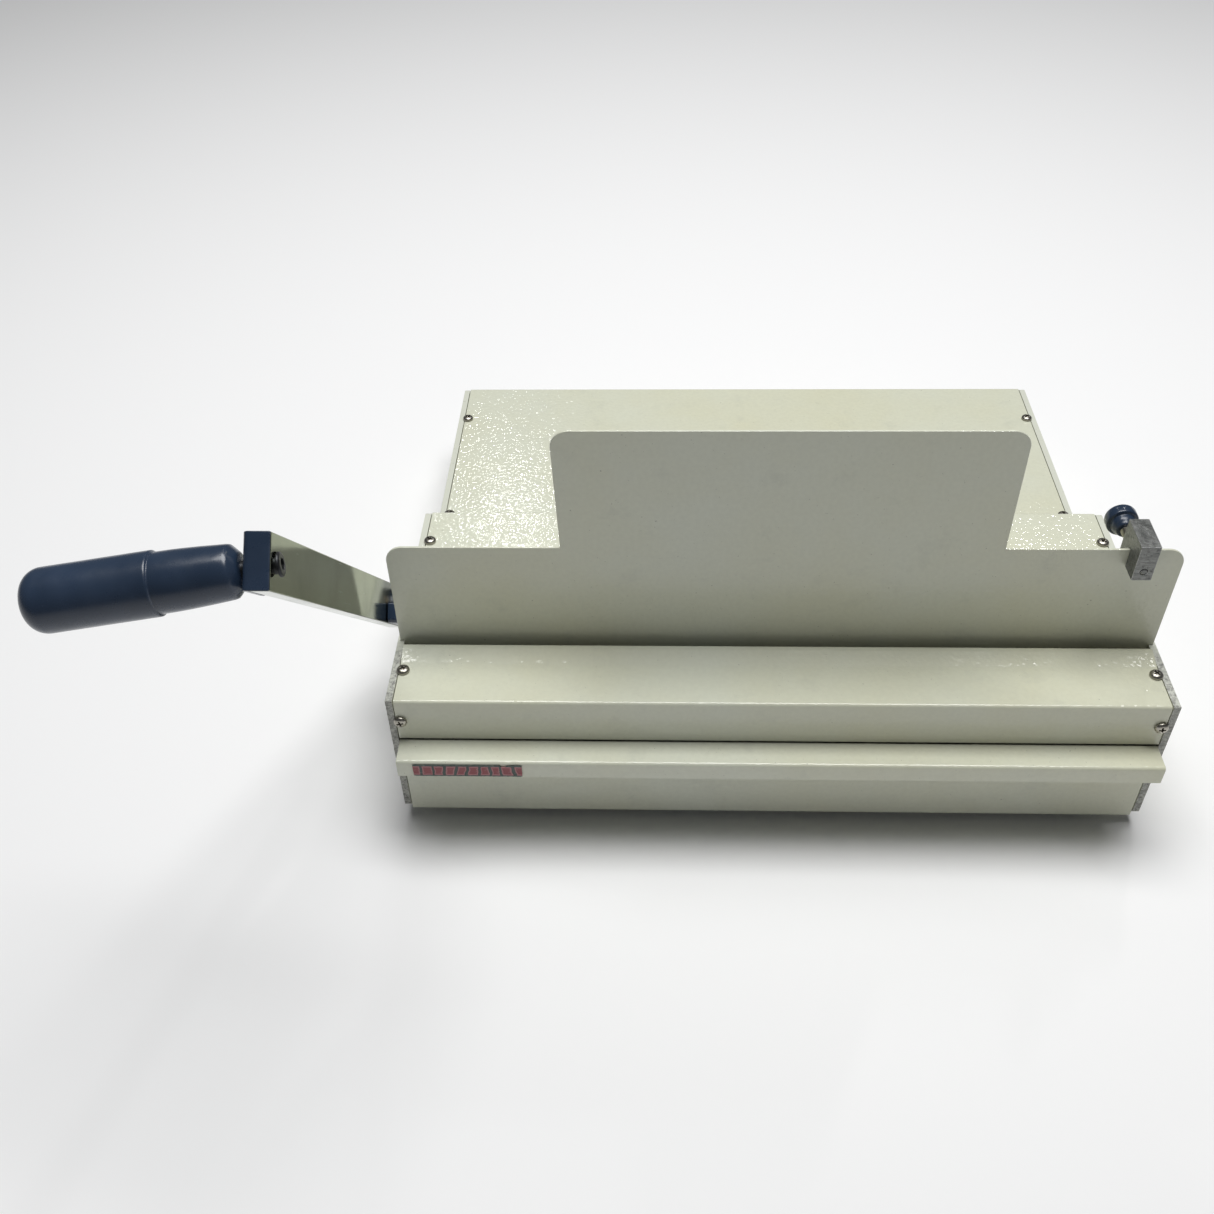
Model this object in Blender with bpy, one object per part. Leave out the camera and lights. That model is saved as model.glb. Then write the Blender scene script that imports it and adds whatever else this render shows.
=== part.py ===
"""Lever paper punch: a bench machine that punches a row of holes along the edge of a paper stack.

The paper stands on edge in the slot in front of the paper rest. Pulling the lever down turns the
main shaft, whose two cams push the ram and its row of punches forward through the paper and into
the die. Two springs bring the lever back. The scraps fall into a tray that pulls out at the front.

Units are metres, +Z up. X runs along the slot, to the right; +Y runs to the back. The origin is the
middle of the body, on the plane of its underside; the rubber feet reach below it.
"""

import math

import bmesh
import bpy
from mathutils import Matrix, Vector

MM = 0.001
GAP = 0.3 * MM              # left between pieces that touch

# Body
PLATE_SPAN = 430 * MM       # between the inner faces of the two side plates
PLATE_T = 4 * MM
BODY_DEPTH = 374 * MM
DECK_H = 93.5 * MM          # from the underside to the top deck
FRONT_DEPTH = 172 * MM      # depth of the high front part
STEP_DROP = 35.3 * MM       # from the top deck down to the rear deck
CORNER_R = 4 * MM           # rounded rear corners of the side plates
TOE_CHAMFER = 4 * MM        # cut-off lower front corners of the side plates
SHEET_T = 1.5 * MM
BEND_R = 1.5 * MM           # bend radius at the middle of the sheet
SIDE_PLAY = 0.4 * MM        # between a cover's end and the side plate
BASE_T = 2 * MM             # top of the base plate, above the underside
BASE_FRONT = 3 * MM         # the base plate starts just behind the tray's front
BASE_PAD = (260 * MM, 200 * MM)     # raised flat in the middle of the base plate's underside
BASE_PAD_RISE = 0.8 * MM
TIE_BAR_R = 6 * MM
TIE_BAR_DROP = 62 * MM
TIE_BAR_BACKS = {"middle": 205 * MM, "rear": 340 * MM}

# Front cover and paper slot, measured back from the front face and up from the deck
COVER_DROP = 30.2 * MM      # height of the front cover's front face
SLOT_FRONT = 44.6 * MM
SLOT_WIDTH = 4.6 * MM
SLOT_LIP = 2.6 * MM         # the cover's edge rises this much at the slot
SLOT_LIP_RUN = 14 * MM
SLOT_LIP_TOP = 2.6 * MM     # level part of the raised edge
THROAT_DEPTH = 14 * MM
THROAT_WIDTH = 2.5 * MM     # between the die and the stripper

# Paper rest
REST_BAND_H = 71 * MM
REST_TOP_H = 147.7 * MM
REST_HALF = 217.5 * MM      # half width above the deck
REST_RAISED_HALF = 120.5 * MM
REST_LEAN = 2.3 * MM        # the raised part's left edge leans out by this much at its top
REST_CORNER_R = 10 * MM
REST_FOOT_DROP = 13 * MM    # top of its foot flange, below the deck
REST_FOOT_LEN = 9 * MM

# Punches, die and ram
PUNCH_COUNT = 40
PUNCH_PITCH = 8.467 * MM
PUNCH_SIDE = 4 * MM
PUNCH_DROP = 24.4 * MM      # punch line and shaft axis, below the deck
DIE_T = 8 * MM
DIE_TOP_DROP = 14.8 * MM
DIE_BOTTOM_DROP = 40 * MM
PUNCH_SETBACK = 1 * MM      # the tips rest this far inside the stripper
STRIP_T = 4 * MM            # strip that holds the punches
STRIP_H = 10 * MM
STRIP_HALF = 170 * MM
RAM_T = 10 * MM
RAM_H = 20 * MM
RAM_HALF = 184 * MM
RAM_STROKE = 9 * MM
GUIDE_PIN_X = 177 * MM
GUIDE_PIN_R = 4 * MM

# Shaft, cams and return springs
SHAFT_BACK = 104.6 * MM     # shaft axis, behind the front face
SHAFT_R = 8 * MM
CAM_X = 120 * MM
CAM_W = 12 * MM
PAD_R = 6 * MM              # rounded nose of the pad that the cam pushes
CAM_REST_R = 18 * MM        # from the shaft axis to the centre of the pad's nose, at rest
CAM_END_DEG = 58            # the cam's rise carries on a little past the lever's travel
CAM_RETURN_DEG = 200
SPRING_ARM_X = 150 * MM
SPRING_ARM_W = 6 * MM
SPRING_ARM_LEN = 35 * MM
SPRING_ARM_ENDS = (13 * MM, 6 * MM)     # radii of its two round ends
SPRING_ARM_DEG = 25         # the arm points back and down by this much at rest
SPRING_PIN_R = 2.5 * MM
SPRING_PIN_LEN = 14 * MM
SPRING_R = 4.2 * MM
SPRING_WIRE = 1.4 * MM
SPRING_TURNS = 7
SPRING_FOOT_TOP = 8 * MM
SPRING_POST_HALF = 5 * MM
BUSH_R = 10 * MM
BUSH_FLANGE_R = 14 * MM
BUSH_FLANGE_T = 2 * MM

# Lever
LEVER_TRAVEL_DEG = 50
LEVER_UP_DEG = 46.4         # the lever's slope at rest, forwards and up
LEVER_LEN = 279.3 * MM      # from the shaft axis to the end of the bar
LEVER_W = 25 * MM
LEVER_T = 8.9 * MM
LEVER_PLAY = 8.5 * MM       # between the side plate and the bar
NUT_R = 9.8 * MM
NUT_T = 8 * MM
THREAD_R = 6 * MM           # neck of the shaft that carries the nut
SPACER_LEN = 48 * MM        # its arm lies along the lower half of the bar's inner face
SPACER_ARM_TOP = 0.5 * MM   # upper edge of the arm, below the bar's middle line
SPACER_CORNER_R = 3 * MM
BOSS_T = 2.6 * MM
BOSS_LEN = 26 * MM
CAP_T = 1.2 * MM
BOLT_ALONG = 271 * MM       # handle bolt, from the shaft axis along the bar
BOLT_R = 4 * MM
BOLT_HEAD_R = 5.5 * MM
BOLT_HEAD_T = 1.6 * MM
BOLT_ACROSS = 1.4 * MM      # and from the bar's middle line towards its lower edge
GRIP_DROOP_DEG = 8.9        # the grip's outer end hangs lower than its inner end
GRIP_START = 9.8 * MM       # along the grip's axis, from the middle of the bar
GRIP_STEP = 46 * MM         # where its thicker outer part begins
GRIP_END = 102.8 * MM
GRIP_R = 14.3 * MM
GRIP_INNER_RADII = (8.6 * MM, 11.7 * MM, 13.3 * MM)     # neck, shoulder, and just before the step

# Scrap tray
TRAY_LIP_OUT = 16.8 * MM    # the pull lip stands this far in front of the body
TRAY_LIP_DROP = 12.2 * MM
TRAY_TOP_DROP = 31.5 * MM   # top of the pull flange, below the deck
TRAY_HALF = 196 * MM
TRAY_DEPTH = 118 * MM
TRAY_SIDE_TOP_DROP = 52.5 * MM
TRAY_EAR = 10 * MM
TRAY_T = 1.2 * MM
LABEL_SIZE = (62 * MM, 9.4 * MM, 0.4 * MM)
LABEL_INSET = (9.4 * MM, 1.6 * MM)      # from the lip's left end and from its top

# Side guide and its clamp knob
GUIDE_X = 191.6 * MM
GUIDE_W = 10.7 * MM
GUIDE_REACH = 12.4 * MM     # in front of the rest
GUIDE_BACK = 10.3 * MM      # behind the rest
GUIDE_PLAY = 0.6 * MM
GUIDE_BOTTOM = 60 * MM      # above the deck
GUIDE_TOP = 83 * MM
CLAMP_H = 66 * MM
STUD_R = 3 * MM
KNOB_FRONT = 72 * MM        # behind the front face
KNOB_LEN = 14 * MM
KNOB_R = 8.8 * MM

# Cover screws: their inset from the side plate, then their places back from the front face
SCREW_INSET = 2.9 * MM
FRONT_STRIP_SCREW = 24.4 * MM
FRONT_FACE_SCREW_DROP = 15.5 * MM
TOP_SCREW = 140.6 * MM
REAR_SCREWS = (212.8 * MM, 331 * MM)
SCREW_HEAD_R = 3.8 * MM
SCREW_HEAD_T = 2.4 * MM
SCREW_R = 2 * MM
SCREW_LEN = 8 * MM
HOLE_R = 2.4 * MM
LUG = 11 * MM               # side of the square lugs that the screws bite into
LUG_T = 10 * MM

# Feet
FOOT_H = 8 * MM
FOOT_R = 11 * MM
FOOT_X = 190 * MM
FOOT_BACKS = (24 * MM, 350 * MM)

PLATE_IN = PLATE_SPAN / 2
PLATE_OUT = PLATE_IN + PLATE_T
COVER_HALF = PLATE_IN - SIDE_PLAY
REST_FRONT = SLOT_FRONT + SLOT_WIDTH
SIDES = {"left": -1, "right": 1}


def back(distance):
    """World Y of a point this far behind the front face."""
    return distance - BODY_DEPTH / 2


def down(drop):
    """World Z of a point this far below the top deck."""
    return DECK_H - drop


SHAFT = Vector((0, back(SHAFT_BACK), down(PUNCH_DROP)))
UP = math.radians(LEVER_UP_DEG)
ALONG = Vector((0, -math.cos(UP), math.sin(UP)))       # from the shaft to the lever's end
ACROSS = Vector((0, -math.sin(UP), -math.cos(UP)))     # across the bar, to its lower edge
LEVER_IN = -(PLATE_OUT + LEVER_PLAY)
LEVER_OUT = LEVER_IN - LEVER_T
DROOP = math.radians(GRIP_DROOP_DEG)
GRIP_AXIS = Vector((-math.cos(DROOP), 0, 0)) + ACROSS * math.sin(DROOP)
GRIP_ORIGIN = (SHAFT + Vector(((LEVER_IN + LEVER_OUT) / 2, 0, 0))
               + ALONG * BOLT_ALONG + ACROSS * BOLT_ACROSS)


# Materials

def material(name, colour, roughness, metallic=0.0):
    """A Principled material with one colour."""
    made = bpy.data.materials.new(name)
    made.use_nodes = True
    shader = made.node_tree.nodes["Principled BSDF"]
    shader.inputs["Base Color"].default_value = (*colour, 1)
    shader.inputs["Roughness"].default_value = roughness
    shader.inputs["Metallic"].default_value = metallic
    return made


FINISHES = {
    "cream_paint": ((0.72, 0.73, 0.62), 0.42, 0.0),
    "polished_steel": ((0.56, 0.57, 0.55), 0.16, 1.0),
    "tool_steel": ((0.38, 0.39, 0.4), 0.35, 1.0),
    "nickel": ((0.62, 0.6, 0.55), 0.25, 1.0),
    "aluminium": ((0.62, 0.63, 0.64), 0.38, 1.0),
    "bronze": ((0.52, 0.38, 0.2), 0.4, 1.0),
    "navy_plastic": ((0.018, 0.028, 0.075), 0.25, 0.0),
    "black_oxide": ((0.04, 0.042, 0.045), 0.4, 0.8),
    "rubber": ((0.025, 0.025, 0.025), 0.8, 0.0),
    "label": ((0.05, 0.07, 0.06), 0.5, 0.0),
}


# Mesh helpers

def finish(name, bm, finish_name, origin=(0, 0, 0), smooth=False):
    """Turn a bmesh in world coordinates into an object whose origin is at the given point."""
    bmesh.ops.recalc_face_normals(bm, faces=bm.faces)
    bmesh.ops.translate(bm, verts=bm.verts, vec=-Vector(origin))
    mesh = bpy.data.meshes.new(name)
    bm.to_mesh(mesh)
    bm.free()
    if smooth:
        mesh.shade_smooth()
        mesh.set_sharp_from_angle(angle=math.radians(35))
    if finish_name:
        mesh.materials.append(bpy.data.materials[finish_name])
    obj = bpy.data.objects.new(name, mesh)
    obj.location = origin
    bpy.context.collection.objects.link(obj)
    return obj


def add_prism(bm, outline, direction):
    """Extrude a closed outline of 3-D points along a vector."""
    near = [bm.verts.new(point) for point in outline]
    far = [bm.verts.new(Vector(point) + Vector(direction)) for point in outline]
    caps = [bm.faces.new(near), bm.faces.new(far)]
    for i, vert in enumerate(near):
        j = (i + 1) % len(near)
        bm.faces.new((vert, near[j], far[j], far[i]))
    for cap in caps:
        cap.normal_update()
    bmesh.ops.triangulate(bm, faces=caps)


def add_box(bm, low, high):
    """A box between two corners."""
    (x0, y0, z0), (x1, y1, z1) = low, high
    add_prism(bm, [(x0, y0, z0), (x1, y0, z0), (x1, y1, z0), (x0, y1, z0)], (0, 0, z1 - z0))


def add_turned(bm, profile, start, axis, segments=24):
    """A solid of revolution: profile is (distance along axis, radius), from one end to the other."""
    axis = Vector(axis).normalized()
    side = axis.orthogonal().normalized()
    other = axis.cross(side)
    rings = []
    for along, radius in profile:
        centre = Vector(start) + axis * along
        rings.append([bm.verts.new(centre + (side * math.cos(a) + other * math.sin(a)) * radius)
                      for a in (math.tau * i / segments for i in range(segments))])
    for ring, after in zip(rings, rings[1:]):
        for i in range(segments):
            j = (i + 1) % segments
            bm.faces.new((ring[i], ring[j], after[j], after[i]))
    bm.faces.new(rings[0])
    bm.faces.new(rings[-1])


def turned(name, profile, start, axis, finish_name, segments=24, origin=(0, 0, 0)):
    bm = bmesh.new()
    add_turned(bm, profile, start, axis, segments)
    return finish(name, bm, finish_name, origin, smooth=True)


def ring(name, inner, outer, x0, x1, finish_name, segments=24, flange=None):
    """A ring about the shaft axis; flange is (radius, x0, x1) of a collar on the same bore."""
    bm = bmesh.new()
    add_turned(bm, [(0, outer), (x1 - x0, outer)], SHAFT + Vector((x0, 0, 0)), (1, 0, 0), segments)
    obj = finish(name, bm, finish_name, SHAFT, smooth=True)
    if flange:
        radius, f0, f1 = flange
        bm = bmesh.new()
        add_turned(bm, [(0, radius), (f1 - f0, radius)], SHAFT + Vector((f0, 0, 0)), (1, 0, 0), segments)
        join(obj, cutter(name + "_flange", bm))
        x0, x1 = min(x0, f0), max(x1, f1)
    bm = bmesh.new()
    add_turned(bm, [(0, inner), (x1 - x0 + 2 * MM, inner)],
               SHAFT + Vector((x0 - MM, 0, 0)), (1, 0, 0), segments)
    cut(obj, cutter(name + "_bore", bm))
    return obj


def cutter(name, bm):
    """A helper solid that shapes another piece and isn't a piece itself."""
    obj = finish(name, bm, None)
    obj.hide_render = True
    obj.display_type = "WIRE"
    return obj


def combine(obj, other, operation):
    step = obj.modifiers.new(operation.title(), "BOOLEAN")
    step.operation = operation
    step.solver = "EXACT"
    step.object = other


def cut(obj, other):
    combine(obj, other, "DIFFERENCE")


def join(obj, other):
    combine(obj, other, "UNION")


def arc(centre, radius, start_deg, end_deg, steps):
    """Points of an arc in a plane, both ends included."""
    points = []
    for i in range(steps + 1):
        a = math.radians(start_deg + (end_deg - start_deg) * i / steps)
        points.append((centre[0] + radius * math.cos(a), centre[1] + radius * math.sin(a)))
    return points


def rounded_path(corners, radius=BEND_R, steps=3):
    """A polyline whose inner corners are replaced by arcs; the two ends stay."""
    points = [Vector(corners[0])]
    for before, corner, after in zip(corners, corners[1:], corners[2:]):
        corner = Vector(corner)
        u = (Vector(before) - corner).normalized()
        v = (Vector(after) - corner).normalized()
        half = math.acos(max(-1.0, min(1.0, u.dot(v)))) / 2
        reach = radius / math.tan(half)
        centre = corner + (u + v).normalized() * (radius / math.sin(half))
        first, last = corner + u * reach - centre, corner + v * reach - centre
        turn = first.angle_signed(last)
        points += [centre + Matrix.Rotation(-turn * i / steps, 2) @ first for i in range(steps + 1)]
    points.append(Vector(corners[-1]))
    return points


def add_bent_sheet(bm, path, thickness, place, direction):
    """A sheet that follows a 2-D path; place turns a 2-D point into a 3-D one."""
    left, right = [], []
    for i, point in enumerate(path):
        before = path[max(i - 1, 0)]
        after = path[min(i + 1, len(path) - 1)]
        run = (after - before).normalized()
        side = Vector((-run.y, run.x)) * thickness / 2
        if 0 < i < len(path) - 1:
            inner = (point - before).normalized()
            side /= max(0.5, Vector((-inner.y, inner.x)).dot(Vector((-run.y, run.x))))
        left.append(point + side)
        right.append(point - side)
    near = [[bm.verts.new(place(p)) for p in row] for row in (left, right)]
    far = [[bm.verts.new(Vector(place(p)) + Vector(direction)) for p in row] for row in (left, right)]
    for i in range(len(path) - 1):
        for row in (0, 1):
            bm.faces.new((near[row][i], near[row][i + 1], far[row][i + 1], far[row][i]))
        for end in (near, far):
            bm.faces.new((end[0][i], end[0][i + 1], end[1][i + 1], end[1][i]))
    for i in (0, -1):
        bm.faces.new((near[0][i], near[1][i], far[1][i], far[0][i]))


def body_sheet(name, corners, radius=BEND_R, half=COVER_HALF):
    """A bent cover that runs from side plate to side plate; corners are (back, drop) at mid-sheet."""
    bm = bmesh.new()
    path = rounded_path([(y, -drop) for y, drop in corners], radius)
    add_bent_sheet(bm, path, SHEET_T, lambda p: (-half, back(p.x), down(-p.y)), (2 * half, 0, 0))
    return finish(name, bm, "cream_paint", smooth=True)


# Body

def cover_screw_places():
    """(cover, place name, back, drop, axis) of each cover screw, the same on both sides."""
    top, front = (0, 0, 1), (0, -1, 0)
    return (
        ("front_cover", "front_strip", FRONT_STRIP_SCREW, 0, top),
        ("front_cover", "front_face", 0, FRONT_FACE_SCREW_DROP, front),
        ("top_cover", "top", TOP_SCREW, 0, top),
        ("rear_cover", "rear_near", REAR_SCREWS[0], STEP_DROP, top),
        ("rear_cover", "rear_far", REAR_SCREWS[1], STEP_DROP, top),
    )


def screw_point(side, y, drop):
    return Vector((side * (PLATE_IN - SCREW_INSET), back(y), down(drop)))


def drill_for_screws(obj, places, sides, first, last):
    """Round holes along each screw's axis, between two depths under the cover's outer face."""
    bm = bmesh.new()
    for side in sides:
        for _, _, y, drop, axis in places:
            inward = -Vector(axis)
            add_turned(bm, [(0, HOLE_R), (last - first, HOLE_R)],
                       screw_point(side, y, drop) + inward * first, inward, 12)
    cut(obj, cutter(obj.name + "_holes", bm))


def make_side_plate(side_name):
    side = SIDES[side_name]
    rear_top = DECK_H - STEP_DROP
    outline = [(0, TOE_CHAMFER), (0, DECK_H)]
    outline += arc((FRONT_DEPTH - CORNER_R, DECK_H - CORNER_R), CORNER_R, 90, 0, 5)
    outline += [(FRONT_DEPTH, rear_top)]
    outline += arc((BODY_DEPTH - CORNER_R, rear_top - CORNER_R), CORNER_R, 90, 0, 5)
    outline += [(BODY_DEPTH, 0), (TOE_CHAMFER, 0)]
    bm = bmesh.new()
    add_prism(bm, [(side * PLATE_IN, back(y), z) for y, z in outline], (side * PLATE_T, 0, 0))
    plate = finish("side_plate_" + side_name, bm, "cream_paint")

    bm = bmesh.new()
    inner, outer = side * (PLATE_IN - LUG), side * (PLATE_IN + PLATE_T / 2)
    below = SHEET_T + GAP
    for _, _, y, drop, axis in cover_screw_places():
        if axis[2]:
            low = (min(inner, outer), back(y - LUG / 2), down(drop + below + LUG_T))
            high = (max(inner, outer), back(y + LUG / 2), down(drop + below))
        else:
            low = (min(inner, outer), back(y + below), down(drop + LUG / 2))
            high = (max(inner, outer), back(y + below + LUG_T), down(drop - LUG / 2))
        add_box(bm, low, high)
    join(plate, cutter(plate.name + "_lugs", bm))
    drill_for_screws(plate, cover_screw_places(), [side], MM, SCREW_LEN + 2 * MM)

    bm = bmesh.new()
    add_turned(bm, [(0, BUSH_R + GAP), (PLATE_T + 2 * MM, BUSH_R + GAP)],
               SHAFT + Vector((side * (PLATE_IN - MM), 0, 0)), (side, 0, 0))
    cut(plate, cutter(plate.name + "_shaft_hole", bm))


def make_covers():
    """Front cover with its raised slot lip, top cover with the step wall, rear cover."""
    half_t = SHEET_T / 2
    throat = SLOT_FRONT - half_t
    front = body_sheet("front_cover", [
        (half_t, COVER_DROP), (half_t, half_t), (SLOT_FRONT - SLOT_LIP_RUN - half_t, half_t),
        (throat - SLOT_LIP_TOP, half_t - SLOT_LIP), (throat, half_t - SLOT_LIP),
        (throat, THROAT_DEPTH)], 1.1 * MM)
    edge = REST_FRONT + SHEET_T + GAP + half_t
    step = FRONT_DEPTH - half_t
    top = body_sheet("top_cover", [
        (edge, 10 * MM), (edge, half_t), (step, half_t), (step, STEP_DROP - GAP)])
    wall = BODY_DEPTH - half_t
    rear = body_sheet("rear_cover", [
        (FRONT_DEPTH - 10 * MM, STEP_DROP + half_t), (wall, STEP_DROP + half_t),
        (wall, DECK_H - BASE_T - GAP)])
    for cover in (front, top, rear):
        places = [place for place in cover_screw_places() if place[0] == cover.name]
        drill_for_screws(cover, places, SIDES.values(), -MM, SHEET_T + MM / 5)


def make_cover_screws():
    head, neck = SCREW_HEAD_T, GAP
    profile = [(-(neck + head), SCREW_HEAD_R * 0.45), (-(neck + head * 0.8), SCREW_HEAD_R * 0.8),
               (-(neck + head * 0.35), SCREW_HEAD_R), (-neck, SCREW_HEAD_R),
               (-neck, SCREW_R), (SCREW_LEN, SCREW_R)]
    for side_name, side in SIDES.items():
        for _, place, y, drop, axis in cover_screw_places():
            turned(f"screw_{place}_{side_name}", profile, screw_point(side, y, drop),
                   -Vector(axis), "nickel", 12, screw_point(side, y, drop))


def make_base():
    bm = bmesh.new()
    rear = BODY_DEPTH - SHEET_T - GAP
    add_box(bm, (-COVER_HALF, back(BASE_FRONT), BASE_PAD_RISE), (COVER_HALF, back(rear), BASE_T))
    plate = finish("base_plate", bm, "cream_paint")
    bm = bmesh.new()
    width, depth = BASE_PAD
    add_box(bm, (-width / 2, -depth / 2, 0), (width / 2, depth / 2, (BASE_PAD_RISE + BASE_T) / 2))
    join(plate, cutter("base_plate_pad", bm))
    foot_top = BASE_PAD_RISE - GAP
    for side_name, side in SIDES.items():
        for end_name, y in zip(("front", "rear"), FOOT_BACKS):
            turned(f"foot_{end_name}_{side_name}",
                   [(-foot_top, FOOT_R), (FOOT_H * 0.8, FOOT_R - MM), (FOOT_H, FOOT_R - 2 * MM)],
                   (side * FOOT_X, back(y), 0), (0, 0, -1), "rubber", 16)


def make_tie_bars():
    length = 2 * (PLATE_IN - GAP)
    end_r = TIE_BAR_R - 0.8 * MM
    for name, y in TIE_BAR_BACKS.items():
        turned("tie_bar_" + name,
               [(0, end_r), (MM, TIE_BAR_R), (length - MM, TIE_BAR_R), (length, end_r)],
               (-length / 2, back(y), down(TIE_BAR_DROP)), (1, 0, 0), "tool_steel", 12)


def make_paper_rest():
    """A T-shaped sheet that stands behind the slot, with a foot flange bent to the back."""
    low = -(REST_FOOT_DROP + SHEET_T)
    r = REST_CORNER_R
    half, tall = REST_RAISED_HALF, REST_TOP_H
    right = [(COVER_HALF, low), (COVER_HALF, 0.4 * MM), (REST_HALF, 0.4 * MM)]
    right += arc((REST_HALF - r, REST_BAND_H - r), r, 0, 90, 5)
    right += [(half, REST_BAND_H)]
    corner = arc((half - r, tall - r), r, 0, 90, 5)
    outline = right + corner + [(-x - REST_LEAN, z) for x, z in reversed(corner)]
    outline += [(-x, z) for x, z in reversed(right)]
    bm = bmesh.new()
    add_prism(bm, [(x, back(REST_FRONT), down(-z)) for x, z in outline], (0, SHEET_T, 0))
    rest = finish("paper_rest", bm, "cream_paint", smooth=True)
    bm = bmesh.new()
    add_box(bm, (-COVER_HALF + 20 * MM, back(REST_FRONT + SHEET_T / 2), down(-low)),
            (COVER_HALF - 20 * MM, back(REST_FRONT + SHEET_T + REST_FOOT_LEN), down(REST_FOOT_DROP)))
    join(rest, cutter("paper_rest_foot", bm))


# Punching tool

def punch_places():
    middle = (PUNCH_COUNT - 1) / 2
    return [(i - middle) * PUNCH_PITCH for i in range(PUNCH_COUNT)]


def punched_plate(name, y0, y1):
    """A steel plate across the machine with one square hole for each punch."""
    bm = bmesh.new()
    half = PLATE_IN - GAP
    add_box(bm, (-half, back(y0), down(DIE_BOTTOM_DROP)), (half, back(y1), down(DIE_TOP_DROP)))
    plate = finish(name, bm, "tool_steel")
    bm = bmesh.new()
    side = PUNCH_SIDE / 2 + GAP
    for x in punch_places():
        add_box(bm, (x - side, back(y0 - MM), SHAFT.z - side), (x + side, back(y1 + MM), SHAFT.z + side))
    cut(plate, cutter(name + "_holes", bm))


def make_tool():
    stripper_front = REST_FRONT
    die_back = REST_FRONT - THROAT_WIDTH
    punched_plate("die_plate", die_back - DIE_T, die_back)
    punched_plate("stripper_plate", stripper_front, stripper_front + DIE_T)

    bm = bmesh.new()
    add_box(bm, (-STRIP_HALF, back(die_back + GAP), down(DIE_BOTTOM_DROP - 4 * MM)),
            (STRIP_HALF, back(stripper_front - GAP), down(PUNCH_DROP + PUNCH_SIDE / 2 + 3 * MM)))
    finish("depth_stop", bm, "tool_steel")

    strip_front = stripper_front + DIE_T + RAM_STROKE + 0.6 * MM
    strip_back = strip_front + STRIP_T
    bm = bmesh.new()
    add_box(bm, (-STRIP_HALF, back(strip_front), SHAFT.z - STRIP_H / 2),
            (STRIP_HALF, back(strip_back), SHAFT.z + STRIP_H / 2))
    row = finish("punch_row", bm, "tool_steel")
    bm = bmesh.new()
    side = PUNCH_SIDE / 2
    for x in punch_places():
        add_box(bm, (x - side, back(stripper_front + PUNCH_SETBACK), SHAFT.z - side),
                (x + side, back(strip_front + MM), SHAFT.z + side))
    join(row, cutter("punch_row_pins", bm))
    return strip_back + GAP


def make_ram(ram_front):
    ram_back = ram_front + RAM_T
    bm = bmesh.new()
    add_box(bm, (-RAM_HALF, back(ram_front), SHAFT.z - RAM_H / 2),
            (RAM_HALF, back(ram_back), SHAFT.z + RAM_H / 2))
    bar = finish("ram_bar", bm, "tool_steel")
    bm = bmesh.new()
    pin_front = REST_FRONT + DIE_T + GAP
    for side_name, side in SIDES.items():
        start = (side * GUIDE_PIN_X, back(pin_front), SHAFT.z)
        add_turned(bm, [(0, GUIDE_PIN_R + GAP), (60 * MM, GUIDE_PIN_R + GAP)], start, (0, 1, 0), 16)
        turned("ram_guide_pin_" + side_name, [(0, GUIDE_PIN_R), (36 * MM, GUIDE_PIN_R),
               (37 * MM, GUIDE_PIN_R - MM)], start, (0, 1, 0), "tool_steel", 16)
    cut(bar, cutter("ram_bar_holes", bm))

    nose = SHAFT_BACK - CAM_REST_R
    for side_name, side in SIDES.items():
        outline = [(ram_back + GAP, -PAD_R)] + arc((nose, 0), PAD_R, -90, 90, 10) + [(ram_back + GAP, PAD_R)]
        bm = bmesh.new()
        add_prism(bm, [(side * CAM_X - CAM_W / 2, back(y), SHAFT.z + z) for y, z in outline],
                  (CAM_W, 0, 0))
        finish("cam_pad_" + side_name, bm, "tool_steel", smooth=True)


# Shaft and what turns with it

def cam_outline(steps=72):
    """The cam's edge: the pad's path round the shaft, moved in by the pad's radius.

    Angles are measured from straight ahead and upwards. The pad moves forward in step with the
    lever: the path's radius grows evenly over the lever's travel, then falls back smoothly.
    """
    rise = RAM_STROKE / LEVER_TRAVEL_DEG
    top = rise * CAM_END_DEG

    def path(deg):
        deg %= 360
        if deg <= CAM_END_DEG:
            lift = rise * deg
        elif deg <= CAM_RETURN_DEG:
            share = (deg - CAM_END_DEG) / (CAM_RETURN_DEG - CAM_END_DEG)
            lift = top * (1 + math.cos(math.pi * share)) / 2
        else:
            lift = 0
        a = math.radians(deg)
        return Vector((-math.cos(a), math.sin(a))) * (CAM_REST_R + lift)

    outline = []
    for i in range(steps):
        deg = 360 * i / steps
        centre = path(deg)
        run = (path(deg + 0.5) - path(deg - 0.5)).normalized()
        inward = Vector((run.y, -run.x))
        if inward.dot(centre) > 0:
            inward = -inward
        outline.append(centre + inward * (PAD_R + GAP))
    return outline


def make_cams():
    for side_name, side in SIDES.items():
        x0 = side * CAM_X - CAM_W / 2
        bm = bmesh.new()
        add_prism(bm, [SHAFT + Vector((x0, p.x, p.y)) for p in cam_outline()], (CAM_W, 0, 0))
        cam = finish("cam_" + side_name, bm, "tool_steel", SHAFT, smooth=True)
        bm = bmesh.new()
        add_turned(bm, [(0, SHAFT_R + GAP), (CAM_W + 2 * MM, SHAFT_R + GAP)],
                   SHAFT + Vector((x0 - MM, 0, 0)), (1, 0, 0))
        cut(cam, cutter(cam.name + "_bore", bm))


def tapered_link(length, big, small, steps=8):
    """Outline of an arm with two round ends, along +X from the big end's centre."""
    tilt = math.degrees(math.asin((big - small) / length))
    outline = arc((0, 0), big, 90 - tilt, 270 + tilt, 2 * steps)
    return outline + arc((length, 0), small, tilt - 90, 90 - tilt, steps)


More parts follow.
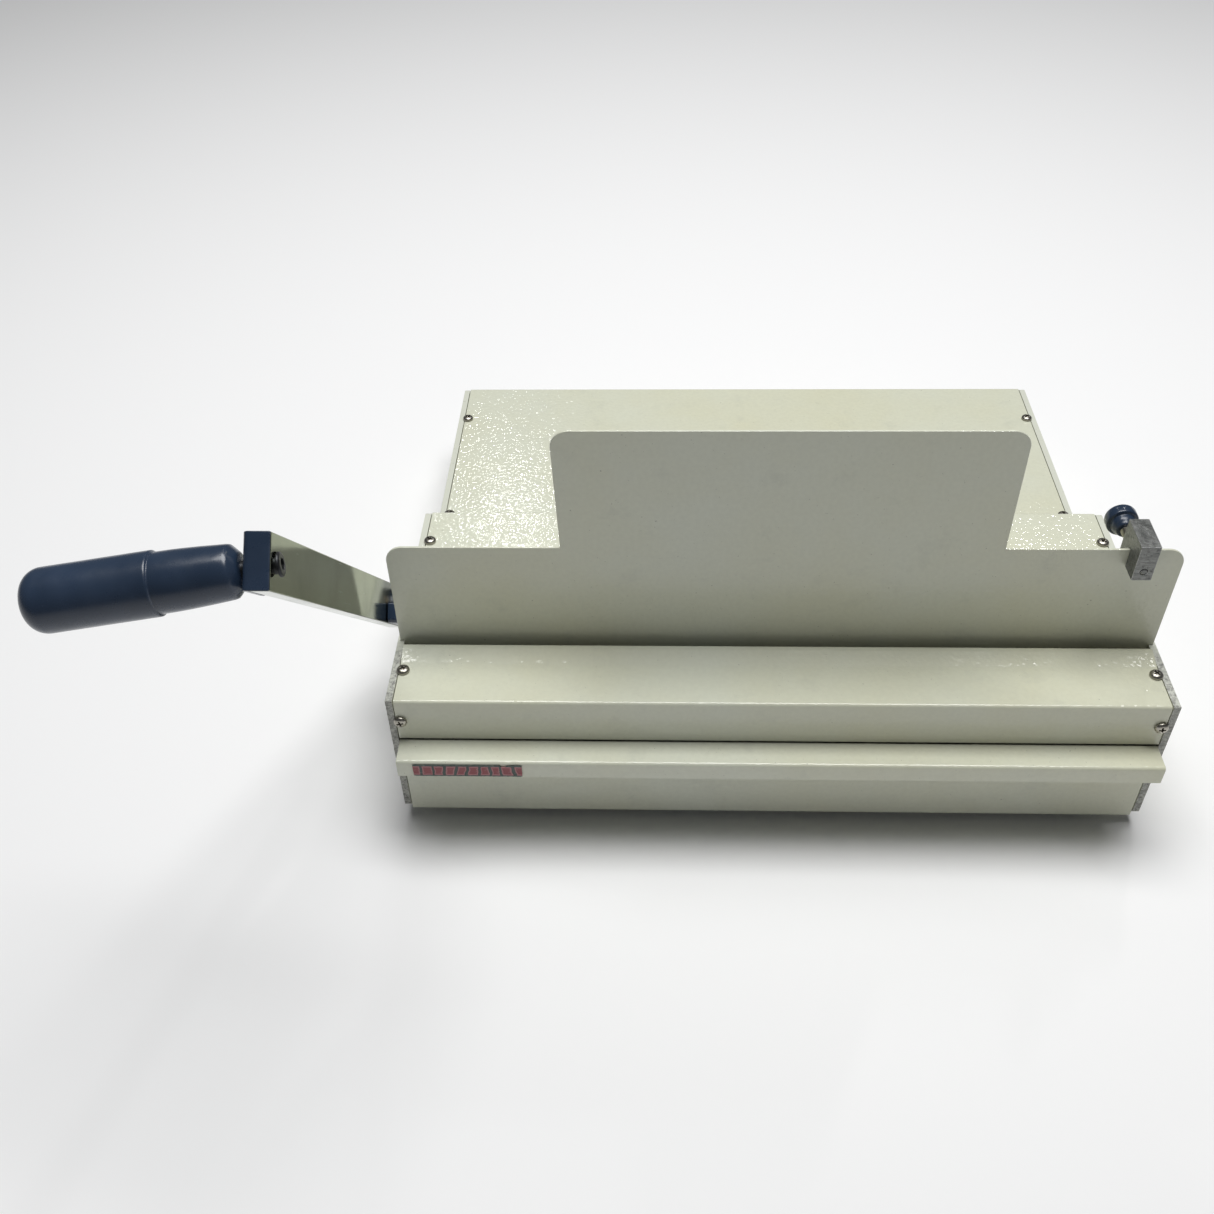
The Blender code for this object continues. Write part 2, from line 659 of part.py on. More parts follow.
def make_spring_arms():
    """Arms on the shaft that pull the return springs, the springs and the posts they hook to."""
    a = math.radians(SPRING_ARM_DEG)
    reach = Vector((0, math.cos(a), -math.sin(a)))
    rise = Vector((0, math.sin(a), math.cos(a)))
    big, small = SPRING_ARM_ENDS
    link = tapered_link(SPRING_ARM_LEN, big, small)
    for side_name, side in SIDES.items():
        x0 = side * SPRING_ARM_X - SPRING_ARM_W / 2
        start = SHAFT + Vector((x0, 0, 0))
        bm = bmesh.new()
        add_prism(bm, [start + reach * p + rise * q for p, q in link],
                  (SPRING_ARM_W, 0, 0))
        arm = finish("spring_arm_" + side_name, bm, "tool_steel", SHAFT, smooth=True)
        end = SHAFT + reach * SPRING_ARM_LEN
        face = side * (SPRING_ARM_X - SPRING_ARM_W / 2)
        bm = bmesh.new()
        add_turned(bm, [(-2 * MM, SPRING_PIN_R), (SPRING_PIN_LEN, SPRING_PIN_R)],
                   (face, end.y, end.z), (-side, 0, 0), 12)
        join(arm, cutter(arm.name + "_pin", bm))
        bm = bmesh.new()
        add_turned(bm, [(0, SHAFT_R + GAP), (SPRING_ARM_W + 2 * MM, SHAFT_R + GAP)],
                   start - Vector((MM, 0, 0)), (1, 0, 0))
        cut(arm, cutter(arm.name + "_bore", bm))

        spring_x = face - side * SPRING_PIN_LEN / 2
        y0, y1 = end.y - SPRING_POST_HALF, end.y + SPRING_POST_HALF
        bm = bmesh.new()
        add_box(bm, (x0, y0, BASE_T + GAP), (x0 + SPRING_ARM_W, y1, end.z - small - GAP))
        post = finish("spring_post_" + side_name, bm, "tool_steel")
        bm = bmesh.new()
        low, high = sorted((x0 + SPRING_ARM_W / 2, spring_x - side * SPRING_POST_HALF))
        add_box(bm, (low, y0, BASE_T + GAP), (high, y1, SPRING_FOOT_TOP))
        join(post, cutter(post.name + "_foot", bm))

        make_spring("return_spring_" + side_name, spring_x, end.y, SPRING_FOOT_TOP + GAP,
                    end.z - SPRING_PIN_R - GAP)


def make_spring(name, x, y, low, high, sides=4, steps=10):
    """A coil spring between two heights, wound from square-cornered wire."""
    wire = SPRING_WIRE / 2
    count = SPRING_TURNS * steps
    bm = bmesh.new()
    rings = []
    for i in range(count + 1):
        a = math.tau * i / steps
        z = low + wire * 1.5 + (high - low - wire * 3) * i / count
        centre = Vector((x + SPRING_R * math.cos(a), y + SPRING_R * math.sin(a), z))
        out = Vector((math.cos(a), math.sin(a), 0))
        rings.append([bm.verts.new(centre + out * wire * math.cos(b) + Vector((0, 0, wire * math.sin(b))))
                      for b in (math.tau * (k + 0.5) / sides for k in range(sides))])
    for before, after in zip(rings, rings[1:]):
        for k in range(sides):
            m = (k + 1) % sides
            bm.faces.new((before[k], before[m], after[m], after[k]))
    bm.faces.new(rings[0])
    bm.faces.new(rings[-1])
    finish(name, bm, "tool_steel")


def make_shaft():
    tail = PLATE_OUT + 1.5 * MM - LEVER_OUT
    tip = -NUT_T - 2 * MM
    turned("main_shaft", [(tip, THREAD_R - MM), (tip + MM, THREAD_R), (0, THREAD_R), (0, SHAFT_R),
                          (tail - MM, SHAFT_R), (tail, SHAFT_R - MM)],
           SHAFT + Vector((LEVER_OUT, 0, 0)), (1, 0, 0), "tool_steel", 24, SHAFT)
    for side_name, side in SIDES.items():
        x0, x1 = side * (PLATE_IN - GAP), side * (PLATE_OUT + 0.5 * MM)
        flange = sorted((x0, x0 - side * BUSH_FLANGE_T))
        ring("shaft_bush_" + side_name, SHAFT_R + GAP, BUSH_R, min(x0, x1), max(x0, x1), "bronze",
             flange=(BUSH_FLANGE_R, *flange))


# Lever and grip

def lever_point(x, along, across):
    return Vector((x, SHAFT.y, SHAFT.z)) + ALONG * along + ACROSS * across


def lever_hole(obj, radius, start, axis, length, segments=24):
    bm = bmesh.new()
    add_turned(bm, [(0, radius), (length, radius)], start, axis, segments)
    cut(obj, cutter(obj.name + "_hole_" + str(len(obj.modifiers)), bm))


def make_lever():
    half = LEVER_W / 2
    outline = arc((0, 0), half, 90, 270, 12) + [(LEVER_LEN, -half), (LEVER_LEN, half)]
    bm = bmesh.new()
    add_prism(bm, [lever_point(LEVER_IN, p, q) for p, q in outline], (-LEVER_T, 0, 0))
    bar = finish("lever_arm", bm, "polished_steel", SHAFT, smooth=True)
    lever_hole(bar, SHAFT_R + GAP, lever_point(LEVER_IN + MM, 0, 0), (-1, 0, 0), LEVER_T + 2 * MM)
    lever_hole(bar, BOLT_R + 2 * GAP, GRIP_ORIGIN - GRIP_AXIS * 10 * MM, GRIP_AXIS, 20 * MM, 16)

    half -= GAP
    r = SPACER_CORNER_R
    outline = arc((0, 0), half, 90, 357, 18)
    outline += [(SPACER_LEN, SPACER_ARM_TOP)] + arc((SPACER_LEN - r, half - r), r, 0, 90, 4)
    bm = bmesh.new()
    add_prism(bm, [lever_point(LEVER_IN + GAP, p, q) for p, q in outline],
              (LEVER_PLAY - GAP - 0.9 * MM, 0, 0))
    spacer = finish("lever_spacer", bm, "navy_plastic", SHAFT, smooth=True)
    lever_hole(spacer, SHAFT_R + GAP, lever_point(-PLATE_OUT, 0, 0), (-1, 0, 0), LEVER_PLAY + MM)

    bm = bmesh.new()
    add_turned(bm, [(0, NUT_R), (NUT_T - 0.5 * MM, NUT_R), (NUT_T, NUT_R - 0.8 * MM)],
               lever_point(LEVER_OUT - GAP, 0, 0), (-1, 0, 0), 6)
    nut = finish("lever_nut", bm, "nickel", SHAFT)
    lever_hole(nut, THREAD_R + GAP, lever_point(LEVER_OUT + MM, 0, 0), (-1, 0, 0), 1.5 * NUT_T, 16)


def make_handle():
    """The plastic cap on the bar's end, the bolt that carries the grip, and the turning grip."""
    half = LEVER_W / 2
    outer = LEVER_OUT - GAP - BOSS_T
    end = LEVER_LEN + GAP + CAP_T
    profile = [(outer, end - BOSS_LEN), (LEVER_OUT - GAP, end - BOSS_LEN), (LEVER_OUT - GAP, LEVER_LEN + GAP),
               (LEVER_IN, LEVER_LEN + GAP), (LEVER_IN, end)]
    profile += arc((outer + BOSS_T, end - BOSS_T), BOSS_T, 90, 180, 4)
    bm = bmesh.new()
    add_prism(bm, [lever_point(x, along, -half) for x, along in profile], ACROSS * LEVER_W)
    cap = finish("handle_boss", bm, "navy_plastic", SHAFT, smooth=True)
    lever_hole(cap, BOLT_R + 2 * GAP, GRIP_ORIGIN, GRIP_AXIS, 20 * MM, 16)

    face = (LEVER_T / 2 + GAP) / math.cos(DROOP)
    head = face + BOLT_HEAD_R * math.tan(DROOP)
    bolt_end = GRIP_END - 30 * MM
    turned("handle_bolt", [
        (-head - BOLT_HEAD_T, BOLT_HEAD_R * 0.75), (-head - BOLT_HEAD_T * 0.4, BOLT_HEAD_R),
        (-head, BOLT_HEAD_R), (-head, BOLT_R), (bolt_end, BOLT_R)],
           GRIP_ORIGIN, GRIP_AXIS, "black_oxide", 24, SHAFT)

    neck, shoulder, waist = GRIP_INNER_RADII
    profile = [(GRIP_START, neck), (GRIP_START + 3.4 * MM, shoulder), (GRIP_STEP, waist),
               (GRIP_STEP, GRIP_R)]
    dome = 9 * MM
    profile += [(GRIP_END - dome + dome * math.sin(a), GRIP_R - dome + dome * math.cos(a))
                for a in (math.radians(d) for d in (0, 22, 45, 67, 88))]
    grip = turned("grip", profile, GRIP_ORIGIN, GRIP_AXIS, "navy_plastic", 24, GRIP_ORIGIN)
    lever_hole(grip, BOLT_R + GAP, GRIP_ORIGIN, GRIP_AXIS, bolt_end + MM)


# Scrap tray

def make_tray():
    """A tray on two rails; its front is bent forward and down into a pull lip."""
    half_t = SHEET_T / 2
    top = TRAY_TOP_DROP + half_t
    floor = DECK_H - BASE_T - 0.4 * MM - TRAY_T / 2
    front = body_sheet("scrap_tray", [
        (half_t - TRAY_LIP_OUT, TRAY_TOP_DROP + TRAY_LIP_DROP), (half_t - TRAY_LIP_OUT, top),
        (half_t, top), (half_t, DECK_H - 0.4 * MM)], 1.2 * MM)

    wall, ear = TRAY_HALF, TRAY_HALF + TRAY_EAR
    side_top = TRAY_SIDE_TOP_DROP + TRAY_T / 2
    corners = [(-ear, -side_top), (-wall, -side_top), (-wall, -floor), (wall, -floor),
               (wall, -side_top), (ear, -side_top)]
    bm = bmesh.new()
    add_bent_sheet(bm, rounded_path(corners, 1.2 * MM, 2), TRAY_T,
                   lambda p: (p.x, back(half_t), down(-p.y)), (0, TRAY_DEPTH - half_t, 0))
    join(front, cutter("scrap_tray_trough", bm))
    bm = bmesh.new()
    add_box(bm, (-wall, back(TRAY_DEPTH - TRAY_T), down(floor)), (wall, back(TRAY_DEPTH), down(side_top)))
    join(front, cutter("scrap_tray_back", bm))

    width, height, thick = LABEL_SIZE
    inset, drop = LABEL_INSET
    x0, y1 = -COVER_HALF + inset, back(-TRAY_LIP_OUT) - GAP
    z1 = down(TRAY_TOP_DROP + drop)
    bm = bmesh.new()
    add_box(bm, (x0, y1 - thick, z1 - height), (x0 + width, y1, z1))
    finish("tray_label", bm, "label")

    for side_name, side in SIDES.items():
        inner, outer = side * (TRAY_HALF + 4 * MM), side * (PLATE_IN - GAP - half_t)
        top = TRAY_SIDE_TOP_DROP + TRAY_T + GAP + half_t
        bm = bmesh.new()
        path = rounded_path([(inner, -top), (outer, -top), (outer, -top - 12 * MM)], BEND_R, 2)
        add_bent_sheet(bm, path, SHEET_T, lambda p: (p.x, back(6 * MM), down(-p.y)),
                       (0, TRAY_DEPTH - 4 * MM, 0))
        finish("tray_rail_" + side_name, bm, "tool_steel")


# Side guide

def make_guide():
    """A block that straddles the rest's top edge and is held by a clamp screw from behind."""
    x0 = GUIDE_X - GUIDE_W / 2
    y0, y1 = REST_FRONT - GUIDE_REACH, REST_FRONT + SHEET_T + GUIDE_BACK
    slot0, slot1 = REST_FRONT - GUIDE_PLAY, REST_FRONT + SHEET_T + GUIDE_PLAY
    roof = REST_BAND_H + GUIDE_PLAY
    outline = [(y0, GUIDE_BOTTOM), (slot0, GUIDE_BOTTOM), (slot0, roof), (slot1, roof),
               (slot1, GUIDE_BOTTOM), (y1, GUIDE_BOTTOM), (y1, GUIDE_TOP), (y0, GUIDE_TOP)]
    bm = bmesh.new()
    add_prism(bm, [(x0, back(y), down(-z)) for y, z in outline], (GUIDE_W, 0, 0))
    block = finish("guide_block", bm, "aluminium")
    axis_point = Vector((GUIDE_X, 0, down(-CLAMP_H)))

    def along_y(y):
        return axis_point + Vector((0, back(y), 0))

    bm = bmesh.new()
    pin_r, pin_len = 1.8 * MM, 7 * MM
    add_turned(bm, [(0, pin_r + GAP), (pin_len + MM, pin_r + GAP)], along_y(y0 - MM), (0, 1, 0), 16)
    add_turned(bm, [(0, STUD_R + GAP), (20 * MM, STUD_R + GAP)], along_y(slot1 - GAP), (0, 1, 0), 16)
    cut(block, cutter("guide_block_holes", bm))
    turned("guide_pin", [(0, pin_r - 0.3 * MM), (0.3 * MM, pin_r), (pin_len - MM, pin_r)],
           along_y(y0 - 0.3 * MM), (0, 1, 0), "nickel", 16)

    tip = REST_FRONT + SHEET_T + GAP
    clamp = along_y(KNOB_FRONT)
    turned("clamp_stud", [(0, STUD_R - 0.6 * MM), (0.6 * MM, STUD_R), (KNOB_FRONT + 8 * MM - tip, STUD_R)],
           along_y(tip), (0, 1, 0), "nickel", 16, clamp)
    knob = turned("clamp_knob", [
        (0, 5 * MM), (1.5 * MM, 5.4 * MM), (3 * MM, 6.4 * MM), (6 * MM, 6.7 * MM),
        (6 * MM, KNOB_R - 0.5 * MM), (7 * MM, KNOB_R), (KNOB_LEN - 2 * MM, KNOB_R), (KNOB_LEN, KNOB_R - 2 * MM)],
        clamp, (0, 1, 0), "navy_plastic", 24, clamp)
    bm = bmesh.new()
    add_turned(bm, [(0, STUD_R + GAP), (10 * MM, STUD_R + GAP)], along_y(KNOB_FRONT - MM), (0, 1, 0), 16)
    cut(knob, cutter("clamp_knob_bore", bm))


def main():
    for obj in list(bpy.data.objects):
        bpy.data.objects.remove(obj)
    for name, values in FINISHES.items():
        material(name, *values)
    for side_name in SIDES:
        make_side_plate(side_name)
    make_covers()
    make_cover_screws()
    make_base()
    make_tie_bars()
    make_paper_rest()
    make_ram(make_tool())
    make_cams()
    make_spring_arms()
    make_shaft()
    make_lever()
    make_handle()
    make_tray()
    make_guide()


main()
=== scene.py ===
import math
import random

import bmesh
import bpy
from mathutils import Matrix, Vector


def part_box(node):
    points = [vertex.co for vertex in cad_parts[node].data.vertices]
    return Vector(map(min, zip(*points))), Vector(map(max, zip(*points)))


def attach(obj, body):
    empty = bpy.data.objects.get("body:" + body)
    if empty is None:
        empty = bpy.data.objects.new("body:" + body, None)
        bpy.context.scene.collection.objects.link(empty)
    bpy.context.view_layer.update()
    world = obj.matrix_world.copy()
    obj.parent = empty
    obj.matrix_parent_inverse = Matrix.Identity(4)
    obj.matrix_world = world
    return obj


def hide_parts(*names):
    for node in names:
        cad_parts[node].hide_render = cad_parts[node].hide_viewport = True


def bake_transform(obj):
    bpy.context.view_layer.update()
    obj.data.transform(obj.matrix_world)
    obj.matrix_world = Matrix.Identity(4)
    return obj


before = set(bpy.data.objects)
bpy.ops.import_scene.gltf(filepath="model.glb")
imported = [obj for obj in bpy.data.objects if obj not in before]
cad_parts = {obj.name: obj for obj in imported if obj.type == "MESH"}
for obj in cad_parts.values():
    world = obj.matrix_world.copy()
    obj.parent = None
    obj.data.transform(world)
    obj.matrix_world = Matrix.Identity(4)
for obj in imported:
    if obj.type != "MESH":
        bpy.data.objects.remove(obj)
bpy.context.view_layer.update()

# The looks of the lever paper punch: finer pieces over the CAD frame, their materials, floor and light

MM = 0.001
DRAWS = random.Random(7)
SIDES = (("left", -1), ("right", 1))

# Places taken from the CAD
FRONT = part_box("front_cover")[0].y
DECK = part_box("top_cover")[1].z
COVER_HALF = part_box("front_cover")[1].x
PLATE_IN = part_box("rear_cover")[1].x + 0.4 * MM
PLATE_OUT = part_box("base_plate")[1].x + 4.4 * MM
FLOOR_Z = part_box("foot_front_left")[0].z

# Dimensions repeated from the CAD source: BACK is measured from the front face, DROP from the deck
GAP = 0.3 * MM
PLATE_T = 4 * MM
BODY_DEPTH = 374 * MM
FRONT_DEPTH = 172 * MM
STEP_DROP = 35.3 * MM
CORNER_R = 4 * MM
TOE_CHAMFER = 4 * MM
TIE_BAR_BACKS = (205 * MM, 340 * MM)
TIE_BAR_DROP = 62 * MM
BASE_T = 2 * MM
SHEET_T = 1.5 * MM
SHEET_BEVEL = 0.35 * MM
FOLD_R = 1.5 * MM
FRONT_FOLD_R = 1.1 * MM
COVER_DROP = 30.2 * MM
COVER_TUCK = 10 * MM
SLOT_FRONT = 44.6 * MM
SLOT_DEPTH = 14 * MM
SLOT_LIP = 2.6 * MM
SLOT_LIP_RUN = 14 * MM
SLOT_LIP_TOP = 2.6 * MM
REST_FRONT = 49.2 * MM
REST_TONGUE = 14.5 * MM
REST_BAND_H = 71 * MM
REST_TOP_H = 147.7 * MM
REST_HALF = 217.5 * MM
REST_RAISED_HALF = 120.5 * MM
REST_LEAN = 2.3 * MM
REST_CORNER_R = 10 * MM
SHAFT_BACK = 104.6 * MM
SHAFT_DROP = 24.4 * MM
SHAFT_R = 8 * MM
SHAFT_HOLE_R = 10.3 * MM
THREAD_R = 6 * MM
LEVER_UP_DEG = 46.4
LEVER_LEN = 279.3 * MM
LEVER_W = 25 * MM
LEVER_T = 8.9 * MM
LEVER_PLAY = 8.5 * MM
SPACER_LEN = 48 * MM
SPACER_ARM_TOP = 0.5 * MM
SPACER_CORNER_R = 3 * MM
NUT_R = 9.8 * MM
NUT_T = 7.7 * MM
CAP_LEN = 26 * MM
CAP_WALL = 2.9 * MM
BOLT_ALONG = 271 * MM
BOLT_ACROSS = 1.4 * MM
BOLT_HEAD_T = 1.6 * MM
BOLT_HEAD_R = 5.5 * MM
BOLT_R = 4 * MM
GRIP_DROOP_DEG = 8.9
GRIP_START = 9.8 * MM
GRIP_STEP = 46 * MM
GRIP_END = 102.75 * MM
GRIP_R = 14.25 * MM
TRAY_SHEET_T = 1.2 * MM
TRAY_FOLD_R = 1.2 * MM
TRAY_LIP_OUT = 16.8 * MM
TRAY_LIP_H = 12.2 * MM
TRAY_SIDE_DROP = 52.5 * MM
TRAY_EAR = 10 * MM
TRAY_TOP_DROP = 31.5 * MM
TRAY_HALF = 196 * MM
TRAY_DEPTH = 118 * MM
GUIDE_X = 191.6 * MM
GUIDE_ROOF_H = 71.6 * MM
GUIDE_CLEARANCE = 0.6 * MM
CLAMP_H = 66 * MM
STUD_R = 3 * MM
KNOB_FRONT = 72 * MM
KNOB_R = 8.8 * MM
KNOB_NECK_R = 6.7 * MM

# Cover screws: distance of each pair from the plates, and its place from front to back
SCREW_INSET = 2.9 * MM
TAB_HALF = 5.5 * MM
TAB_SUNK = 6.8 * MM
STRIP_SCREW_BACK = 24.4 * MM
FACE_SCREW_DROP = 15.5 * MM
TOP_SCREW_BACK = 140.6 * MM
REAR_SCREW_BACKS = (212.8 * MM, 331 * MM)

# Screws that hold the die and stripper plates between the side plates
TOOL_SCREW_BACKS = (42.6 * MM, 53.4 * MM)
TOOL_SCREW_DROPS = (20 * MM, 35 * MM)

# The camera's angles in degrees, lens in mm and place
CAMERA_YAW, CAMERA_PITCH, CAMERA_ROLL = 2.79, 42.42, -1.61
CAMERA_LENS = 37.71
CAMERA_PLACE = (-0.06972, -0.67071, 0.60867)

# Area lights: name, place, point aimed at, size, power in W
LIGHTS = (
    ("overhead", (0.05, 0.15, 2.1), (0, 0, 0), (1.6, 1.1), 47),
    ("left_tube", (-0.5, 2.26, 1.9), (-0.18, 0.05, 0), (0.16, 0.1), 1.7),
    ("right_tube", (0.83, 1.56, 1.9), (0.17, -0.1, 0), (0.08, 0.36), 3),
)
FLOOR_HALF = 30

# Nodes of the CAD that stay in view: material, width of the rounded edges, names
KEPT = (
    ("cream_paint", 0.4 * MM, ("base_plate",)),
    ("tool_steel", 0.15 * MM, ("punch_row",)),
    ("tool_steel", 0.2 * MM, ("tie_bar_middle", "tie_bar_rear", "die_plate", "stripper_plate", "depth_stop",
                              "ram_guide_pin_left", "ram_guide_pin_right", "cam_pad_left", "cam_pad_right")),
    ("tool_steel", 0.3 * MM, ("ram_bar", "cam_left", "cam_right", "spring_arm_left", "spring_arm_right",
                              "spring_post_left", "spring_post_right", "tray_rail_left", "tray_rail_right")),
    ("bronze", 0.2 * MM, ("shaft_bush_left", "shaft_bush_right")),
)


def back(distance):
    return FRONT + distance


def down(drop):
    return DECK - drop


SHAFT = Vector((0, back(SHAFT_BACK), down(SHAFT_DROP)))
UP = math.radians(LEVER_UP_DEG)
ALONG = Vector((0, -math.cos(UP), math.sin(UP)))
ACROSS = Vector((0, -math.sin(UP), -math.cos(UP)))
LEVER_IN = -(PLATE_OUT + LEVER_PLAY)
LEVER_OUT = LEVER_IN - LEVER_T
DROOP = math.radians(GRIP_DROOP_DEG)
GRIP_AXIS = Vector((-math.cos(DROOP), 0, 0)) + ACROSS * math.sin(DROOP)
GRIP_ORIGIN = (SHAFT + Vector(((LEVER_IN + LEVER_OUT) / 2, 0, 0))
               + ALONG * BOLT_ALONG + ACROSS * BOLT_ACROSS)


# Camera

def make_camera():
    """A camera at the photograph's angle, solved from the object's own edges."""
    yaw, pitch, roll = (math.radians(a) for a in (CAMERA_YAW, CAMERA_PITCH, CAMERA_ROLL))
    tilt = Matrix.Rotation(math.pi / 2 - pitch, 3, "X")
    turn = Matrix.Rotation(yaw, 3, "Z") @ tilt @ Matrix.Rotation(roll, 3, "Z")
    data = bpy.data.cameras.new("camera")
    data.lens = CAMERA_LENS
    data.sensor_width = 36
    data.clip_end = 60
    cam = bpy.data.objects.new("camera", data)
    cam.matrix_world = Matrix.Translation(CAMERA_PLACE) @ turn.to_4x4()
    bpy.context.scene.collection.objects.link(cam)
    bpy.context.scene.camera = cam


# Node materials

class Nodes:
    """Short ways to add shader nodes to one material."""

    def __init__(self, name):
        self.made = bpy.data.materials.new(name)
        self.made.use_nodes = True
        self.tree = self.made.node_tree
        self.shader = self.tree.nodes["Principled BSDF"]
        self.where = self.add("ShaderNodeTexCoord").outputs["Object"]

    def add(self, kind, inputs=(), **settings):
        node = self.tree.nodes.new(kind)
        for key, value in settings.items():
            setattr(node, key, value)
        for key, value in dict(inputs).items():
            self.put(node.inputs[key], value)
        return node

    def put(self, socket, value):
        if isinstance(value, bpy.types.NodeSocket):
            self.tree.links.new(value, socket)
        elif isinstance(value, (tuple, list)) and len(value) == 3 and socket.type == "RGBA":
            socket.default_value = (*value, 1)
        else:
            socket.default_value = value

    def set(self, **inputs):
        for key, value in inputs.items():
            self.put(self.shader.inputs[key.replace("_", " ")], value)

    def stretched(self, scale):
        return self.add("ShaderNodeMapping", {"Vector": self.where, "Scale": scale}).outputs[0]

    def noise(self, scale, detail=3.0, rough=0.5, distort=0.0, where=None):
        node = self.add("ShaderNodeTexNoise", {"Vector": where or self.where, "Scale": scale,
                                               "Detail": detail, "Roughness": rough,
                                               "Distortion": distort})
        return node.outputs["Fac"]

    def span(self, value, low, high, to_low=0.0, to_high=1.0):
        """Map low to high onto to_low to to_high, and stop there."""
        node = self.add("ShaderNodeMapRange", {"Value": value, "From Min": low, "From Max": high,
                                               "To Min": to_low, "To Max": to_high})
        return node.outputs["Result"]

    def calc(self, operation, a, b=0.0, clamp=False):
        node = self.add("ShaderNodeMath", operation=operation, use_clamp=clamp)
        self.put(node.inputs[0], a)
        self.put(node.inputs[1], b)
        return node.outputs[0]

    def blend(self, share, a, b, how="MIX"):
        node = self.add("ShaderNodeMix", data_type="RGBA", blend_type=how)
        self.put(node.inputs["Factor"], share)
        first, second = (socket for socket in node.inputs if socket.type == "RGBA")
        self.put(first, a)
        self.put(second, b)
        return next(socket for socket in node.outputs if socket.type == "RGBA")

    def grey(self, value):
        parts = {"Red": value, "Green": value, "Blue": value}
        return self.add("ShaderNodeCombineColor", parts).outputs["Color"]

    def bump(self, height, distance, strength=1.0, under=None):
        inputs = {"Height": height, "Distance": distance, "Strength": strength}
        if under:
            inputs["Normal"] = under
        return self.add("ShaderNodeBump", inputs).outputs["Normal"]

    def edges(self, radius, low=0.02, high=0.3):
        """1 on sharp outer edges, 0 on flats."""
        soft = self.add("ShaderNodeBevel", {"Radius": radius}, samples=4).outputs["Normal"]
        flat = self.add("ShaderNodeNewGeometry").outputs["True Normal"]
        near = self.add("ShaderNodeVectorMath", operation="DOT_PRODUCT")
        self.put(near.inputs[0], soft)
        self.put(near.inputs[1], flat)
        return self.span(near.outputs["Value"], 1 - low, 1 - high)


def cream_paint():
    """Textured powder coat: orange peel, faint scuffs and yellowing, dirt in blotches, and a faint light and
    dark speckle along the peel that is painted sparkle.
    """
    tint = (0.64, 0.66, 0.555)
    n = Nodes("cream_paint")
    slow = n.noise(6, 4, 0.6)
    mid = n.noise(45, 5, 0.65)
    warm = tuple(c * k for c, k in zip(tint, (0.98, 0.95, 0.86)))
    base = n.blend(n.span(slow, 0.35, 0.7), tint, warm)
    dirt = n.span(mid, 0.58, 0.82, 0.0, 0.4)
    base = n.blend(dirt, base, tuple(c * 0.72 for c in tint))
    speck = n.span(n.noise(700, 2, 0.5), 0.74, 0.78, 0.0, 0.6)
    base = n.blend(speck, base, (0.16, 0.15, 0.12))
    scuff_lines = n.noise(60, 6, 0.75, 1.5, n.stretched((0.6, 4, 3)))
    scuffs = n.span(scuff_lines, 0.66, 0.74, 0.0, 0.4)
    base = n.blend(scuffs, base, (0.34, 0.33, 0.27))
    rubbed = n.calc("MULTIPLY", n.edges(0.0012, 0.02, 0.3), n.span(n.noise(130, 6, 0.75), 0.52, 0.66), True)
    base = n.blend(n.calc("MULTIPLY", rubbed, 0.6), base, (0.26, 0.25, 0.21))
    peel = n.noise(400, 1, 0.4)
    # painted sparkle: the base colour is made a little lighter and darker along the orange peel, standing in
    # for the glints of its bumps
    grain = n.span(peel, 0.3, 0.7, 0.98, 1.015)
    n.set(Base_Color=n.blend(1.0, base, n.grey(grain), "MULTIPLY"))
    n.set(Roughness=n.span(n.noise(120, 4, 0.6), 0.3, 0.75, 0.42, 0.58))
    n.set(Coat_Weight=1.0, Coat_Roughness=0.07, Specular_IOR_Level=0.2)
    fine = n.noise(1300, 2, 0.5)
    n.set(Normal=n.bump(fine, 0.00001, 0.6, n.bump(peel, 0.0001)))
    n.set(Coat_Normal=n.bump(fine, 0.00001, 0.5, n.bump(peel, 0.00024)))
    return n.made


def raw_edge():
    """Plate edge: painted behind the slot, thinly painted on top in front of it, bare at the front."""
    n = Nodes("plate_edge")
    y = n.add("ShaderNodeSeparateXYZ", {"Vector": n.where}).outputs["Y"]
    blot = n.noise(420, 6, 0.7, 0.6)
    streak = n.noise(900, 4, 0.7, 0.3, n.stretched((0.3, 1, 1)))
    at_front = n.span(y, back(1.5 * MM), back(0.5 * MM))
    painted = n.span(y, back(38 * MM), back(46 * MM))
    bare = n.calc("ADD", n.span(blot, 0.45, 0.6), n.calc("MULTIPLY", at_front, 0.5), True)
    base = n.blend(bare, (0.56, 0.57, 0.51), (0.26, 0.26, 0.24))
    dark = n.calc("MULTIPLY", n.span(streak, 0.5, 0.7), n.span(at_front, 0, 1, 0.25, 0.7))
    base = n.blend(dark, base, (0.05, 0.05, 0.045))
    paint = n.blend(n.span(blot, 0.6, 0.74), (0.6, 0.615, 0.53), (0.4, 0.4, 0.34))
    n.set(Base_Color=n.blend(painted, base, paint))
    hidden = n.calc("SUBTRACT", 1.0, painted)
    n.set(Metallic=n.calc("MULTIPLY", n.span(bare, 0.2, 1.0, 0.05, 0.5), hidden))
    n.set(Roughness=n.span(streak, 0.3, 0.7, 0.38, 0.6))
    n.set(Normal=n.bump(streak, 0.00012, 0.6, n.bump(blot, 0.0001, 0.6)))
    return n.made


